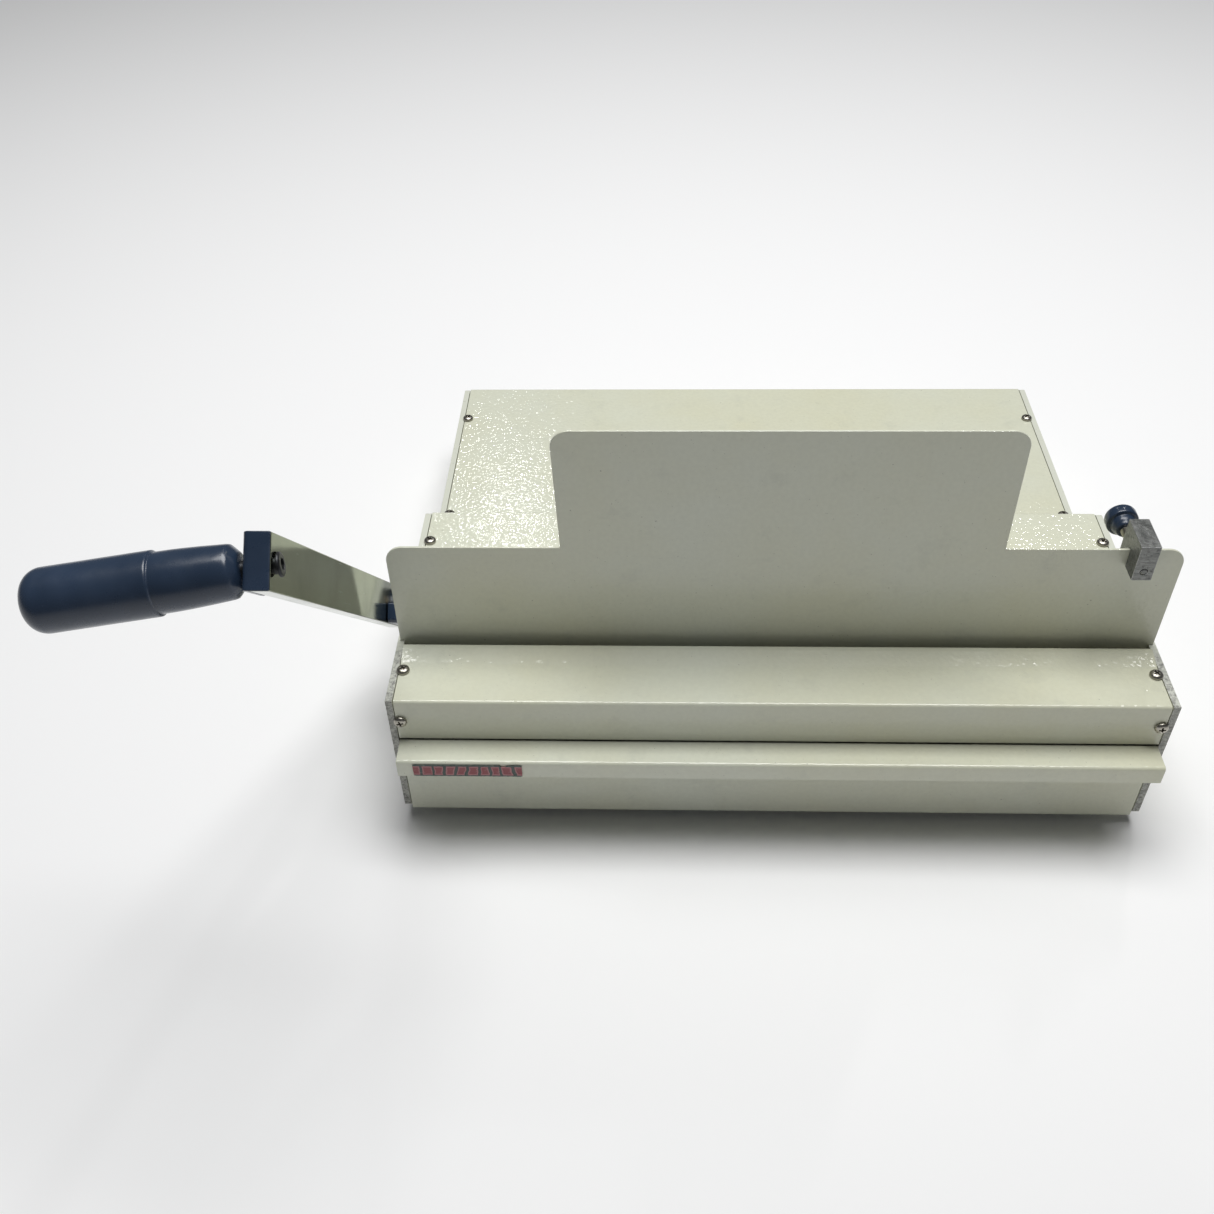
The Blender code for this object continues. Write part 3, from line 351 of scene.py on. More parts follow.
def brushed_steel(name, tint, low=0.12, high=0.26, marks=1.0, along=(1, 40, 40), slope=0.0):
    """Ground steel: fine lines along one axis, smudges, and a few deeper scratches."""
    n = Nodes(name)
    where = n.add("ShaderNodeMapping", {"Vector": n.where, "Rotation": (slope, 0, 0)}).outputs[0]
    fine = n.add("ShaderNodeMapping", {"Vector": where, "Scale": along}).outputs[0]
    lines = n.noise(60, 5, 0.7, 0.0, fine)
    smudge = n.noise(14, 4, 0.6, 0.8)
    spots = n.noise(260, 5, 0.7, 1.2)
    scratch = n.span(n.noise(30, 3, 0.7, 0.6, fine), 0.66, 0.7, 0.0, 0.6 * marks)
    base = n.blend(n.span(smudge, 0.4, 0.66), tint, tuple(c * 0.72 for c in tint))
    base = n.blend(n.span(spots, 0.66, 0.74, 0, 0.5 * marks), base, tuple(c * 0.35 for c in tint))
    base = n.blend(scratch, base, tuple(min(1.0, c * 1.9) for c in tint))
    n.set(Base_Color=base, Metallic=1.0)
    rough = n.calc("ADD", n.span(smudge, 0.35, 0.7, low, high), n.span(lines, 0.45, 0.75, 0.0, 0.08))
    n.set(Roughness=n.calc("ADD", rough, n.calc("MULTIPLY", scratch, 0.3)))
    n.set(Normal=n.bump(spots, 0.00003, 0.25 * marks, n.bump(lines, 0.00002, 0.35)))
    return n.made


def dark_plastic():
    """Glossy dark blue moulded plastic with a fine skin, scuffs and rubbed edges."""
    n = Nodes("navy_plastic")
    slow = n.noise(30, 3, 0.6)
    skin = n.noise(700, 3, 0.5)
    scuff = n.noise(110, 8, 0.78, 2.4, n.stretched((1, 2.4, 1)))
    base = n.blend(n.span(slow, 0.35, 0.7), (0.017, 0.031, 0.058), (0.026, 0.044, 0.08))
    worn = n.span(scuff, 0.68, 0.78, 0.0, 0.6)
    base = n.blend(worn, base, (0.13, 0.16, 0.21))
    rub = n.calc("MULTIPLY", n.edges(0.0011, 0.03, 0.35), n.span(n.noise(240, 6, 0.75), 0.42, 0.62), True)
    base = n.blend(n.calc("MULTIPLY", rub, 0.7), base, (0.16, 0.18, 0.24))
    n.set(Base_Color=base)
    n.set(Roughness=n.calc("ADD", n.span(n.noise(70, 5, 0.65), 0.3, 0.7, 0.2, 0.36),
                           n.calc("MULTIPLY", worn, 0.4)))
    n.set(Specular_IOR_Level=0.5, Coat_Weight=0.15, Coat_Roughness=0.1)
    n.set(Normal=n.bump(scuff, 0.00004, 0.35, n.bump(skin, 0.00002, 0.45)))
    return n.made


def sawn_aluminium():
    """Aluminium bar stock: drawn lines and pitting on flats darkened as painted dark reflection, and pale
    nicked edges that are also painted edge highlights.
    """
    n = Nodes("aluminium")
    lines = n.noise(150, 6, 0.75, 0.4, n.stretched((1, 1, 9)))
    pits = n.noise(520, 6, 0.75, 0.8)
    # painted dark reflection: both tints are far darker than bare aluminium, standing in for the dark
    # surroundings the faces reflect
    base = n.blend(n.span(lines, 0.38, 0.66), (0.26, 0.265, 0.255), (0.11, 0.115, 0.11))
    base = n.blend(n.span(pits, 0.54, 0.68, 0, 0.85), base, (0.055, 0.055, 0.055))
    # painted edge highlight: the edges keep pale aluminium against the darkened flats, partly nicked metal
    # and partly painted highlight
    base = n.blend(n.edges(0.0008, 0.03, 0.3), base, (0.85, 0.86, 0.86))
    n.set(Base_Color=base, Metallic=0.9)
    n.set(Roughness=n.span(pits, 0.3, 0.7, 0.3, 0.52))
    n.set(Normal=n.bump(pits, 0.0003, 0.8, n.bump(lines, 0.0002, 0.7)))
    return n.made


def rubber():
    n = Nodes("rubber")
    grain = n.noise(800, 4, 0.6)
    dust = n.span(n.noise(90, 5, 0.7), 0.5, 0.75, 0, 0.5)
    n.set(Base_Color=n.blend(dust, (0.018, 0.018, 0.018), (0.09, 0.088, 0.08)))
    n.set(Roughness=n.span(grain, 0.3, 0.7, 0.6, 0.85), Normal=n.bump(grain, 0.00006, 0.6))
    return n.made


def bronze():
    n = Nodes("bronze")
    grain = n.noise(500, 5, 0.7)
    n.set(Base_Color=n.blend(n.span(grain, 0.35, 0.7), (0.5, 0.33, 0.13), (0.3, 0.2, 0.09)), Metallic=1.0)
    n.set(Roughness=n.span(grain, 0.3, 0.7, 0.28, 0.5), Normal=n.bump(grain, 0.00004, 0.5))
    return n.made


def oxide():
    """Blackened steel, worn grey on its edges."""
    n = Nodes("black_oxide")
    grain = n.noise(600, 4, 0.65)
    base = n.blend(n.span(grain, 0.35, 0.7), (0.03, 0.032, 0.036), (0.055, 0.057, 0.06))
    base = n.blend(n.edges(0.0006, 0.03, 0.4), base, (0.2, 0.2, 0.2))
    n.set(Base_Color=base, Metallic=0.8)
    n.set(Roughness=n.span(grain, 0.3, 0.7, 0.28, 0.48), Normal=n.bump(grain, 0.00002, 0.5))
    return n.made


def label_print():
    """Worn strip of generic blocks, red on dark green, with a pale line round each."""
    n = Nodes("label")
    apart = n.add("ShaderNodeSeparateXYZ", {"Vector": n.where})
    pitch, half_height = 6.6 * MM, 4.9 * MM
    sway = n.calc("MULTIPLY", n.calc("SUBTRACT", n.noise(75, 2, 0.5), 0.5), 7 * MM)
    along = n.calc("FRACT", n.calc("DIVIDE", n.calc("ADD", apart.outputs["X"], sway), pitch))
    from_middle = n.calc("ABSOLUTE", n.calc("SUBTRACT", along, 0.5))
    height = n.calc("ABSOLUTE", n.calc("DIVIDE", apart.outputs["Z"], half_height))
    wobble = n.calc("MULTIPLY", n.calc("SUBTRACT", n.noise(420, 3, 0.6), 0.5), 0.18)
    outline = n.calc("MAXIMUM", n.calc("MULTIPLY", from_middle, 2.2), n.calc("MULTIPLY", height, 1.12))
    inside = n.calc("ADD", outline, wobble)
    block = n.span(inside, 0.86, 0.78)
    core = n.span(inside, 0.66, 0.58)
    base = n.blend(block, (0.012, 0.03, 0.024), (0.4, 0.14, 0.15))
    base = n.blend(core, base, (0.23, 0.018, 0.028))
    worn = n.span(n.noise(300, 7, 0.8, 0.8), 0.6, 0.68, 0, 0.75)
    base = n.blend(worn, base, (0.33, 0.32, 0.28))
    n.set(Base_Color=base, Roughness=n.span(n.noise(200, 4, 0.6), 0.3, 0.7, 0.3, 0.55))
    n.set(Coat_Weight=0.3, Coat_Roughness=0.2, Normal=n.bump(n.noise(160, 4, 0.6), 0.0001, 0.4))
    return n.made


def make_materials():
    made = {
        "cream_paint": cream_paint(),
        "plate_edge": raw_edge(),
        # painted reflection: the lever steel's tint is darkened and turned olive, standing in for the cream
        # side plate in shade that the bar reflects
        "polished_steel": brushed_steel("polished_steel", (0.31, 0.335, 0.28), 0.06, 0.18, 1.0,
                                        (30, 1, 30), UP),
        "tool_steel": brushed_steel("tool_steel", (0.4, 0.405, 0.41), 0.25, 0.4, 0.8, (1, 20, 20)),
        "nickel": brushed_steel("nickel", (0.42, 0.4, 0.35), 0.24, 0.4, 0.7, (8, 8, 8)),
        "aluminium": sawn_aluminium(),
        "bronze": bronze(),
        "navy_plastic": dark_plastic(),
        "black_oxide": oxide(),
        "rubber": rubber(),
        "label": label_print(),
    }
    return made


# Mesh helpers

def piece(name, bm, material, body, replaces=(), matrix=None, bevel=0.0, segments=3,
          limit=35, extra=()):
    """A mesh with rounded edges, smooth shading and its materials; it rides on a body if one is named."""
    bmesh.ops.recalc_face_normals(bm, faces=bm.faces)
    mesh = bpy.data.meshes.new(name)
    for face in bm.faces:
        face.smooth = True
    bm.to_mesh(mesh)
    bm.free()
    for m in (material, *extra):
        mesh.materials.append(MATERIALS[m])
    obj = bpy.data.objects.new(name, mesh)
    bpy.context.scene.collection.objects.link(obj)
    if matrix is not None:
        obj.location = matrix.translation
        mesh.transform(matrix.to_3x3().to_4x4())
    if bevel:
        round_edges(obj, bevel, segments, limit)
    else:
        mesh.set_sharp_from_angle(angle=math.radians(limit))
    if body:
        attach(obj, body)
    if replaces:
        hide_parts(*replaces)
    return obj


def round_edges(obj, width, segments=3, limit=35):
    step = obj.modifiers.new("edges", "BEVEL")
    step.width = width
    step.segments = segments
    step.limit_method = "ANGLE"
    step.angle_limit = math.radians(limit)
    step.use_clamp_overlap = True
    shade = obj.modifiers.new("shade", "WEIGHTED_NORMAL")
    shade.keep_sharp = False
    shade.weight = 80


def bake_modifiers(obj):
    """Replace an object's mesh by the result of its modifiers."""
    graph = bpy.context.evaluated_depsgraph_get()
    mesh = bpy.data.meshes.new_from_object(obj.evaluated_get(graph))
    obj.modifiers.clear()
    obj.data = mesh


def carve(obj, cutters):
    """Cut helper solids out of an object that has no other modifiers."""
    helpers = []
    for i, bm in enumerate(cutters):
        bmesh.ops.recalc_face_normals(bm, faces=bm.faces)
        mesh = bpy.data.meshes.new(f"{obj.name}_cut{i}")
        bm.to_mesh(mesh)
        bm.free()
        helper = bpy.data.objects.new(mesh.name, mesh)
        bpy.context.scene.collection.objects.link(helper)
        step = obj.modifiers.new("cut", "BOOLEAN")
        step.operation = "DIFFERENCE"
        step.solver = "EXACT"
        step.object = helper
        helpers.append(helper)
    bpy.context.view_layer.update()
    bake_modifiers(obj)
    for helper in helpers:
        mesh = helper.data
        bpy.data.objects.remove(helper)
        bpy.data.meshes.remove(mesh)


def carved(bm, cutters):
    """A bmesh with helper solids cut out of it."""
    bmesh.ops.recalc_face_normals(bm, faces=bm.faces)
    mesh = bpy.data.meshes.new("carving")
    bm.to_mesh(mesh)
    bm.free()
    obj = bpy.data.objects.new("carving", mesh)
    bpy.context.scene.collection.objects.link(obj)
    carve(obj, cutters)
    result = bmesh.new()
    result.from_mesh(obj.data)
    bpy.data.objects.remove(obj)
    bmesh.ops.dissolve_limit(result, angle_limit=math.radians(0.3), verts=result.verts, edges=result.edges)
    return result


def add_prism(bm, outline, direction, edge_material=None):
    """Extrude a closed outline of 3-D points along a vector."""
    near = [bm.verts.new(point) for point in outline]
    far = [bm.verts.new(Vector(point) + Vector(direction)) for point in outline]
    bm.faces.new(near)
    bm.faces.new(list(reversed(far)))
    for i, vert in enumerate(near):
        j = (i + 1) % len(near)
        side = bm.faces.new((vert, near[j], far[j], far[i]))
        if edge_material is not None:
            side.material_index = edge_material


def add_box(bm, low, high):
    (x0, y0, z0), (x1, y1, z1) = low, high
    add_prism(bm, [(x0, y0, z0), (x1, y0, z0), (x1, y1, z0), (x0, y1, z0)], (0, 0, z1 - z0))


def add_turned(bm, profile, start=(0, 0, 0), axis=(0, 0, 1), segments=64, wobble=None):
    """A solid of revolution: profile is (distance along axis, radius), from one end to the other."""
    axis = Vector(axis).normalized()
    side = axis.orthogonal().normalized()
    other = axis.cross(side)
    rings = []
    for along, radius in profile:
        centre = Vector(start) + axis * along
        ring = []
        for i in range(segments):
            a = math.tau * i / segments
            r = radius + (wobble(along, a) if wobble else 0)
            ring.append(bm.verts.new(centre + (side * math.cos(a) + other * math.sin(a)) * r))
        rings.append(ring)
    for ring, after in zip(rings, rings[1:]):
        for i in range(segments):
            j = (i + 1) % segments
            bm.faces.new((ring[i], ring[j], after[j], after[i]))
    bm.faces.new(list(reversed(rings[0])))
    bm.faces.new(rings[-1])


def arc(centre, radius, start_deg, end_deg, steps):
    return [(centre[0] + radius * math.cos(a), centre[1] + radius * math.sin(a))
            for a in (math.radians(start_deg + (end_deg - start_deg) * i / steps) for i in range(steps + 1))]


def hexagon(reach):
    """Corners of a hexagon; reach is from its middle to a corner."""
    return [(reach * math.cos(a), reach * math.sin(a)) for a in (math.radians(d) for d in range(0, 360, 60))]


def rounded_path(corners, radius, steps=8):
    """A polyline whose inner corners are replaced by arcs; radius is one number or one for each corner."""
    radii = radius if isinstance(radius, (tuple, list)) else [radius] * (len(corners) - 2)
    points = [Vector(corners[0])]
    for before, corner, after, r in zip(corners, corners[1:], corners[2:], radii):
        corner = Vector(corner)
        u = (Vector(before) - corner).normalized()
        v = (Vector(after) - corner).normalized()
        half = math.acos(max(-1.0, min(1.0, u.dot(v)))) / 2
        reach = r / math.tan(half)
        centre = corner + (u + v).normalized() * (r / math.sin(half))
        first, last = corner + u * reach - centre, corner + v * reach - centre
        turn = first.angle_signed(last)
        points += [centre + Matrix.Rotation(-turn * i / steps, 2) @ first for i in range(steps + 1)]
    points.append(Vector(corners[-1]))
    return points


def add_bent_sheet(bm, path, thickness, place, direction):
    """A sheet that follows a 2-D path; place turns a 2-D point into a 3-D one."""
    left, right = [], []
    for i, point in enumerate(path):
        before = path[max(i - 1, 0)]
        after = path[min(i + 1, len(path) - 1)]
        run = (after - before).normalized()
        side = Vector((-run.y, run.x)) * thickness / 2
        if 0 < i < len(path) - 1:
            inner = (point - before).normalized()
            side /= max(0.5, Vector((-inner.y, inner.x)).dot(Vector((-run.y, run.x))))
        left.append(point + side)
        right.append(point - side)
    near = [[bm.verts.new(place(p)) for p in row] for row in (left, right)]
    far = [[bm.verts.new(Vector(place(p)) + Vector(direction)) for p in row] for row in (left, right)]
    for i in range(len(path) - 1):
        for row in (0, 1):
            bm.faces.new((near[row][i], near[row][i + 1], far[row][i + 1], far[row][i]))
        for end in (near, far):
            bm.faces.new((end[0][i], end[0][i + 1], end[1][i + 1], end[1][i]))
    for i in (0, -1):
        bm.faces.new((near[0][i], near[1][i], far[1][i], far[0][i]))


def add_cover(bm, corners, radius):
    """A sheet across the machine, bent along corners given as (distance back, drop) of its middle layer."""
    path = rounded_path([(y, -drop) for y, drop in corners], radius)
    add_bent_sheet(bm, path, SHEET_T, lambda p: (-COVER_HALF, back(p.x), down(-p.y)), (2 * COVER_HALF, 0, 0))


# Body

def make_body():
    h = SHEET_T / 2
    throat = SLOT_FRONT - h
    bm = bmesh.new()
    add_cover(bm, [(h, COVER_DROP), (h, h), (SLOT_FRONT - SLOT_LIP_RUN - h, h),
                   (throat - SLOT_LIP_TOP, h - SLOT_LIP), (throat, h - SLOT_LIP), (throat, SLOT_DEPTH)],
              [FRONT_FOLD_R, 16 * MM, 6 * MM, FRONT_FOLD_R])
    piece("front_cover_sheet", bm, "cream_paint", "chassis", ["front_cover"], bevel=SHEET_BEVEL)

    edge = REST_FRONT + SHEET_T + GAP + h
    step = FRONT_DEPTH - h
    bm = bmesh.new()
    add_cover(bm, [(edge, COVER_TUCK), (edge, h), (step, h), (step, STEP_DROP - GAP)], FOLD_R)
    piece("top_cover_sheet", bm, "cream_paint", "chassis", ["top_cover"], bevel=SHEET_BEVEL)

    wall = BODY_DEPTH - h
    bm = bmesh.new()
    add_cover(bm, [(FRONT_DEPTH - COVER_TUCK, STEP_DROP + h), (wall, STEP_DROP + h),
                   (wall, DECK - BASE_T - GAP)], FOLD_R)
    piece("rear_cover_sheet", bm, "cream_paint", "chassis", ["rear_cover"], bevel=SHEET_BEVEL)


def standing(place, axis):
    """The matrix that puts a piece modelled along +Z at a place, along an axis."""
    turn = Vector((0, 0, 1)).rotation_difference(Vector(axis)).to_matrix()
    return Matrix.Translation(place) @ turn.to_4x4()


def screw_places():
    """(name, place, outward axis) of every cover screw."""
    up = (0, 0, 1)
    for side_name, side in SIDES:
        x = side * (PLATE_IN - SCREW_INSET)
        yield f"screw_front_strip_{side_name}", (x, back(STRIP_SCREW_BACK), DECK), up
        yield f"screw_front_face_{side_name}", (x, FRONT, down(FACE_SCREW_DROP)), (0, -1, 0)
        yield f"screw_top_{side_name}", (x, back(TOP_SCREW_BACK), DECK), up
        for row, y in zip(("near", "far"), REAR_SCREW_BACKS):
            yield f"screw_rear_{row}_{side_name}", (x, back(y), down(STEP_DROP)), up


def make_side_plates():
    rear_top = DECK - STEP_DROP
    r = CORNER_R
    outline = [(TOE_CHAMFER, 0), (0, TOE_CHAMFER), (0, DECK)]
    outline += arc((FRONT_DEPTH - r, DECK - r), r, 90, 0, 16)
    outline += [(FRONT_DEPTH, rear_top)]
    outline += arc((BODY_DEPTH - r, rear_top - r), r, 90, 0, 16)
    outline += [(BODY_DEPTH, 0)]
    for name, side in SIDES:
        bm = bmesh.new()
        add_prism(bm, [(side * PLATE_IN, back(y), z) for y, z in outline], (side * PLATE_T, 0, 0), 1)
        hole = bmesh.new()
        add_turned(hole, [(0, SHAFT_HOLE_R), (2 * PLATE_T, SHAFT_HOLE_R)],
                   SHAFT + Vector((side * (PLATE_IN - PLATE_T / 2), 0, 0)), (side, 0, 0))
        bm = carved(bm, [hole])
        for screw, (x, y, z), axis in screw_places():
            if screw.endswith(name):
                centre = Vector((side * (PLATE_IN - TAB_HALF), y, z)) - Vector(axis) * TAB_SUNK
                reach = Vector((TAB_HALF + 0.1 * MM, TAB_HALF, TAB_HALF))
                reach -= Vector([abs(a) for a in axis]) * 0.5 * MM
                add_box(bm, centre - reach, centre + reach)
        piece(f"plate_{name}", bm, "cream_paint", "chassis", [f"side_plate_{name}"],
              bevel=0.45 * MM, extra=("plate_edge",))


def make_plate_screws():
    """Countersunk socket screws that hold the bars and the punching tool between the plates."""
    spots = [(y, TIE_BAR_DROP, 4.6 * MM, 2.4 * MM) for y in TIE_BAR_BACKS]
    spots += [(y, drop, 3.4 * MM, 1.8 * MM) for y in TOOL_SCREW_BACKS for drop in TOOL_SCREW_DROPS]
    for name, side in SIDES:
        for i, (y, drop, head, deep) in enumerate(spots):
            bm = bmesh.new()
            add_turned(bm, [(-deep, head * 0.5), (0.1 * MM, head), (0.3 * MM, head - 0.15 * MM),
                            (0.45 * MM, head - 0.6 * MM)], segments=40)
            socket = bmesh.new()
            add_turned(socket, [(-deep * 0.6, head * 0.42), (MM, head * 0.42)], segments=6)
            place = standing((side * PLATE_OUT, back(y), down(drop)), (side, 0, 0))
            piece(f"plate_screw_{name}_{i + 1}", carved(bm, [socket]), "black_oxide", "chassis",
                  matrix=place, limit=30)


def make_rest():
    r = REST_CORNER_R
    foot = 0.4 * MM
    right = [(COVER_HALF, -REST_TONGUE), (COVER_HALF, foot), (REST_HALF, foot)]
    right += arc((REST_HALF - r, REST_BAND_H - r), r, 0, 90, 16)
    right += [(REST_RAISED_HALF, REST_BAND_H)]
    corner = arc((REST_RAISED_HALF - r, REST_TOP_H - r), r, 0, 90, 16)
    outline = right + corner + [(-x - REST_LEAN, z) for x, z in reversed(corner)]
    outline += [(-x, z) for x, z in reversed(right)]
    bm = bmesh.new()
    add_prism(bm, [(x, back(REST_FRONT), down(-z)) for x, z in outline], (0, SHEET_T, 0))
    flange_half = COVER_HALF - 20 * MM
    add_box(bm, (-flange_half, back(REST_FRONT + SHEET_T / 2 + 0.05 * MM), down(REST_TONGUE)),
            (flange_half, back(REST_FRONT + SHEET_T + 9 * MM), down(REST_TONGUE - SHEET_T)))
    piece("rest_sheet", bm, "cream_paint", "chassis", ["paper_rest"], bevel=0.4 * MM)


def screw_mesh():
    """Pan head with a cross recess; its underside is at the origin and it rises along +Z."""
    rim, high = 3.8 * MM, 2.4 * MM
    profile = [(0.3 * MM, rim - 0.25 * MM), (0.45 * MM, rim)]
    profile += [(0.9 * MM + (high - 0.6 * MM) * math.sin(a), rim * (0.32 + 0.68 * math.cos(a)))
                for a in (math.radians(d) for d in range(0, 91, 9))]
    bm = bmesh.new()
    add_turned(bm, profile, segments=48)
    wing, arm, depth = 0.55 * MM, 2.1 * MM, 2.1 * MM
    top = high + 0.5 * MM
    upper = [(-arm, -wing), (arm, -wing), (arm, wing), (-arm, wing)]
    lower = [(x * 0.55, y * 0.5) for x, y in upper]
    cutters = []
    for across in (False, True):
        cross = bmesh.new()
        bottom, brim = ([cross.verts.new((-y, x, z) if across else (x, y, z)) for x, y in ring]
                        for ring, z in ((lower, top - depth), (upper, top)))
        cross.faces.new(bottom)
        cross.faces.new(brim)
        for i in range(4):
            j = (i + 1) % 4
            cross.faces.new((bottom[i], bottom[j], brim[j], brim[i]))
        cutters.append(cross)
    return carved(bm, cutters)


def make_screws():
    master = screw_mesh()
    for name, place, axis in screw_places():
        turn = Matrix.Rotation(DRAWS.uniform(0, math.pi / 2), 4, "Z")
        piece(name + "_head", master.copy(), "nickel", "chassis", [name], matrix=standing(place, axis) @ turn,
              bevel=0.12 * MM, segments=2, limit=30)
    master.free()


# Lever and grip

def lever_frame():
    """Local X along the lever, Y across it to its lower edge, Z to the right, from the shaft's axis."""
    rotation = Matrix((ALONG, ACROSS, ALONG.cross(ACROSS))).transposed()
    return Matrix.Translation(SHAFT) @ rotation.to_4x4()


def grip_frame():
    """Local Z along the grip's axis."""
    rotation = Matrix((ALONG, GRIP_AXIS.cross(ALONG), GRIP_AXIS)).transposed()
    return Matrix.Translation(GRIP_ORIGIN) @ rotation.to_4x4()


def make_lever():
    place = lever_frame()
    half = LEVER_W / 2
    outline = arc((0, 0), half, 90, 270, 32) + [(LEVER_LEN, -half), (LEVER_LEN, half)]
    bm = bmesh.new()
    add_prism(bm, [(u, v, LEVER_IN) for u, v in outline], (0, 0, -LEVER_T))
    piece("lever_bar", bm, "polished_steel", "lever", ["lever_arm"], matrix=place, bevel=0.6 * MM)

    half -= GAP
    r = SPACER_CORNER_R
    outline = arc((0, 0), half, 90, 357, 40)
    outline += [(SPACER_LEN, SPACER_ARM_TOP)] + arc((SPACER_LEN - r, half - r), r, 0, 90, 10)
    bm = bmesh.new()
    add_prism(bm, [(u, v, LEVER_IN + GAP) for u, v in outline], (0, 0, LEVER_PLAY - 4 * GAP))
    piece("spacer_block", bm, "navy_plastic", "lever", ["lever_spacer"], matrix=place, bevel=0.7 * MM)

    nut = bmesh.new()
    add_prism(nut, [(x, y, LEVER_OUT - GAP) for x, y in hexagon(NUT_R)], (0, 0, -NUT_T))
    bore = bmesh.new()
    bore_r = THREAD_R + 0.2 * MM
    add_turned(bore, [(0, bore_r), (20 * MM, bore_r)], (0, 0, LEVER_OUT - 15 * MM), (0, 0, 1), 40)
    piece("shaft_nut", carved(nut, [bore]), "nickel", "lever", ["lever_nut"], matrix=place, bevel=0.5 * MM)


def threaded(bm, start, axis, length, radius, pitch, segments=32, per_turn=6, depth=0.55):
    """A rod with a helical thread, closed at both ends."""
    count = int(length / pitch * per_turn)
    groove = pitch * depth
    profile = [(length * i / count, radius) for i in range(count + 1)]

    def wobble(along, a):
        share = (along / pitch - a / math.tau) % 1.0
        fade = max(0.0, min(1.0, along / pitch, (length - along) / pitch))
        return -groove * (abs(share - 0.5) * 2 * fade + 0.9 * (1 - fade))

    add_turned(bm, profile, start, axis, segments, wobble)


def make_shaft():
    bm = bmesh.new()
    tail = PLATE_OUT + 1.5 * MM - LEVER_OUT
    start = SHAFT + Vector((LEVER_OUT, 0, 0))
    r = SHAFT_R
    add_turned(bm, [(0, r - 0.4 * MM), (0.4 * MM, r), (tail - MM, r), (tail, r - MM)], start, (1, 0, 0))
    threaded(bm, start + Vector((0.2 * MM, 0, 0)), (-1, 0, 0), 10 * MM, THREAD_R, 1.5 * MM)
    piece("drive_shaft", bm, "tool_steel", "lever", ["main_shaft"])


def make_handle_cap():
    """Plastic cap that wraps the bar's end and its outer face."""
    outer = LEVER_OUT - CAP_WALL
    end = LEVER_LEN + 1.5 * MM
    r = CAP_WALL
    profile = [(outer, end - CAP_LEN), (LEVER_OUT - GAP, end - CAP_LEN), (LEVER_OUT - GAP, LEVER_LEN + GAP),
               (LEVER_IN, LEVER_LEN + GAP), (LEVER_IN, end)]
    profile += arc((outer + r, end - r), r, 90, 180, 10)
    bm = bmesh.new()
    add_prism(bm, [(along, -LEVER_W / 2, x) for x, along in profile], (0, LEVER_W, 0))
    piece("handle_cap", bm, "navy_plastic", "lever", ["handle_boss"], matrix=lever_frame(), bevel=0.55 * MM)


def make_handle_bolt():
    """Socket head screw through the bar and into the grip; its slant makes the grip droop."""
    face = (LEVER_T / 2 + GAP) / math.cos(DROOP)
    r, thick = BOLT_HEAD_R, BOLT_HEAD_T
    head = face + r * math.tan(DROOP)
    top = -head - thick
    rod = bmesh.new()
    add_turned(rod, [(top, r - 1.1 * MM), (top + 0.2 * MM, r - 0.55 * MM), (top + 0.6 * MM, r - 0.12 * MM),
                     (-head - thick * 0.45, r), (-head, r), (-head, BOLT_R), (GRIP_END - 30 * MM, BOLT_R)])
    socket = bmesh.new()
    add_prism(socket, [(x, y, top - MM) for x, y in hexagon(2.9 * MM)], (0, 0, 3.4 * MM))
    piece("handle_bolt_rod", carved(rod, [socket]), "black_oxide", "lever", ["handle_bolt"],
          matrix=grip_frame(), bevel=0.12 * MM, segments=2, limit=40)


def make_grip():
    """Turned grip: a flared collar, a thin inner half that swells, a step, and a domed outer half."""
    start, step = GRIP_START, GRIP_STEP
    profile = [(start, 7.2 * MM), (start + 0.25 * MM, 8.0 * MM), (start + 0.9 * MM, 8.7 * MM),
               (start + 3.0 * MM, 11.0 * MM), (start + 3.7 * MM, 11.6 * MM), (start + 5 * MM, 11.9 * MM)]
    swell = step - start - 5.6 * MM
    profile += [(start + 5 * MM + swell * i / 8, 11.9 * MM + 1.35 * MM * math.sin(i / 8 * math.pi / 2))
                for i in range(1, 9)]
    thick = step + 1.2 * MM
    profile += [(step - 0.2 * MM, 13.2 * MM), (step, 13.3 * MM), (step + 0.2 * MM, GRIP_R - 0.35 * MM),
                (step + 0.6 * MM, GRIP_R - 0.05 * MM), (thick, GRIP_R)]
    dome = 9 * MM
    profile += [(thick + (GRIP_END - dome - thick) * i / 6, GRIP_R) for i in range(1, 6)]
    profile += [(GRIP_END - dome + y, GRIP_R - dome + x) for x, y in arc((0, 0), dome, 0, 90, 15)]
    grip = bmesh.new()
    add_turned(grip, profile, segments=96)
    piece("grip_handle", grip, "navy_plastic", "grip", ["grip"], matrix=grip_frame(), limit=50)


# Scrap tray

def make_tray():
    """Front sheet with its flange and pull lip, and a trough of thinner sheet behind it."""
    h = SHEET_T / 2
    top = TRAY_TOP_DROP + h
    bm = bmesh.new()
    add_cover(bm, [(h - TRAY_LIP_OUT, TRAY_TOP_DROP + TRAY_LIP_H), (h - TRAY_LIP_OUT, top), (h, top),
                   (h, DECK - 0.4 * MM)], TRAY_FOLD_R)
    t = TRAY_SHEET_T
    floor = DECK - BASE_T - 0.4 * MM - t / 2
    wall, ear = TRAY_HALF, TRAY_HALF + TRAY_EAR
    side_top = TRAY_SIDE_DROP + t / 2
    corners = [(-ear, -side_top), (-wall, -side_top), (-wall, -floor), (wall, -floor), (wall, -side_top),
               (ear, -side_top)]
    add_bent_sheet(bm, rounded_path(corners, TRAY_FOLD_R, 6), t, lambda p: (p.x, back(h), down(-p.y)),
                   (0, TRAY_DEPTH - h, 0))
    add_box(bm, (-wall, back(TRAY_DEPTH - t), down(floor)), (wall, back(TRAY_DEPTH), down(side_top)))
    piece("tray_pull", bm, "cream_paint", "tray", ["scrap_tray"], bevel=SHEET_BEVEL)


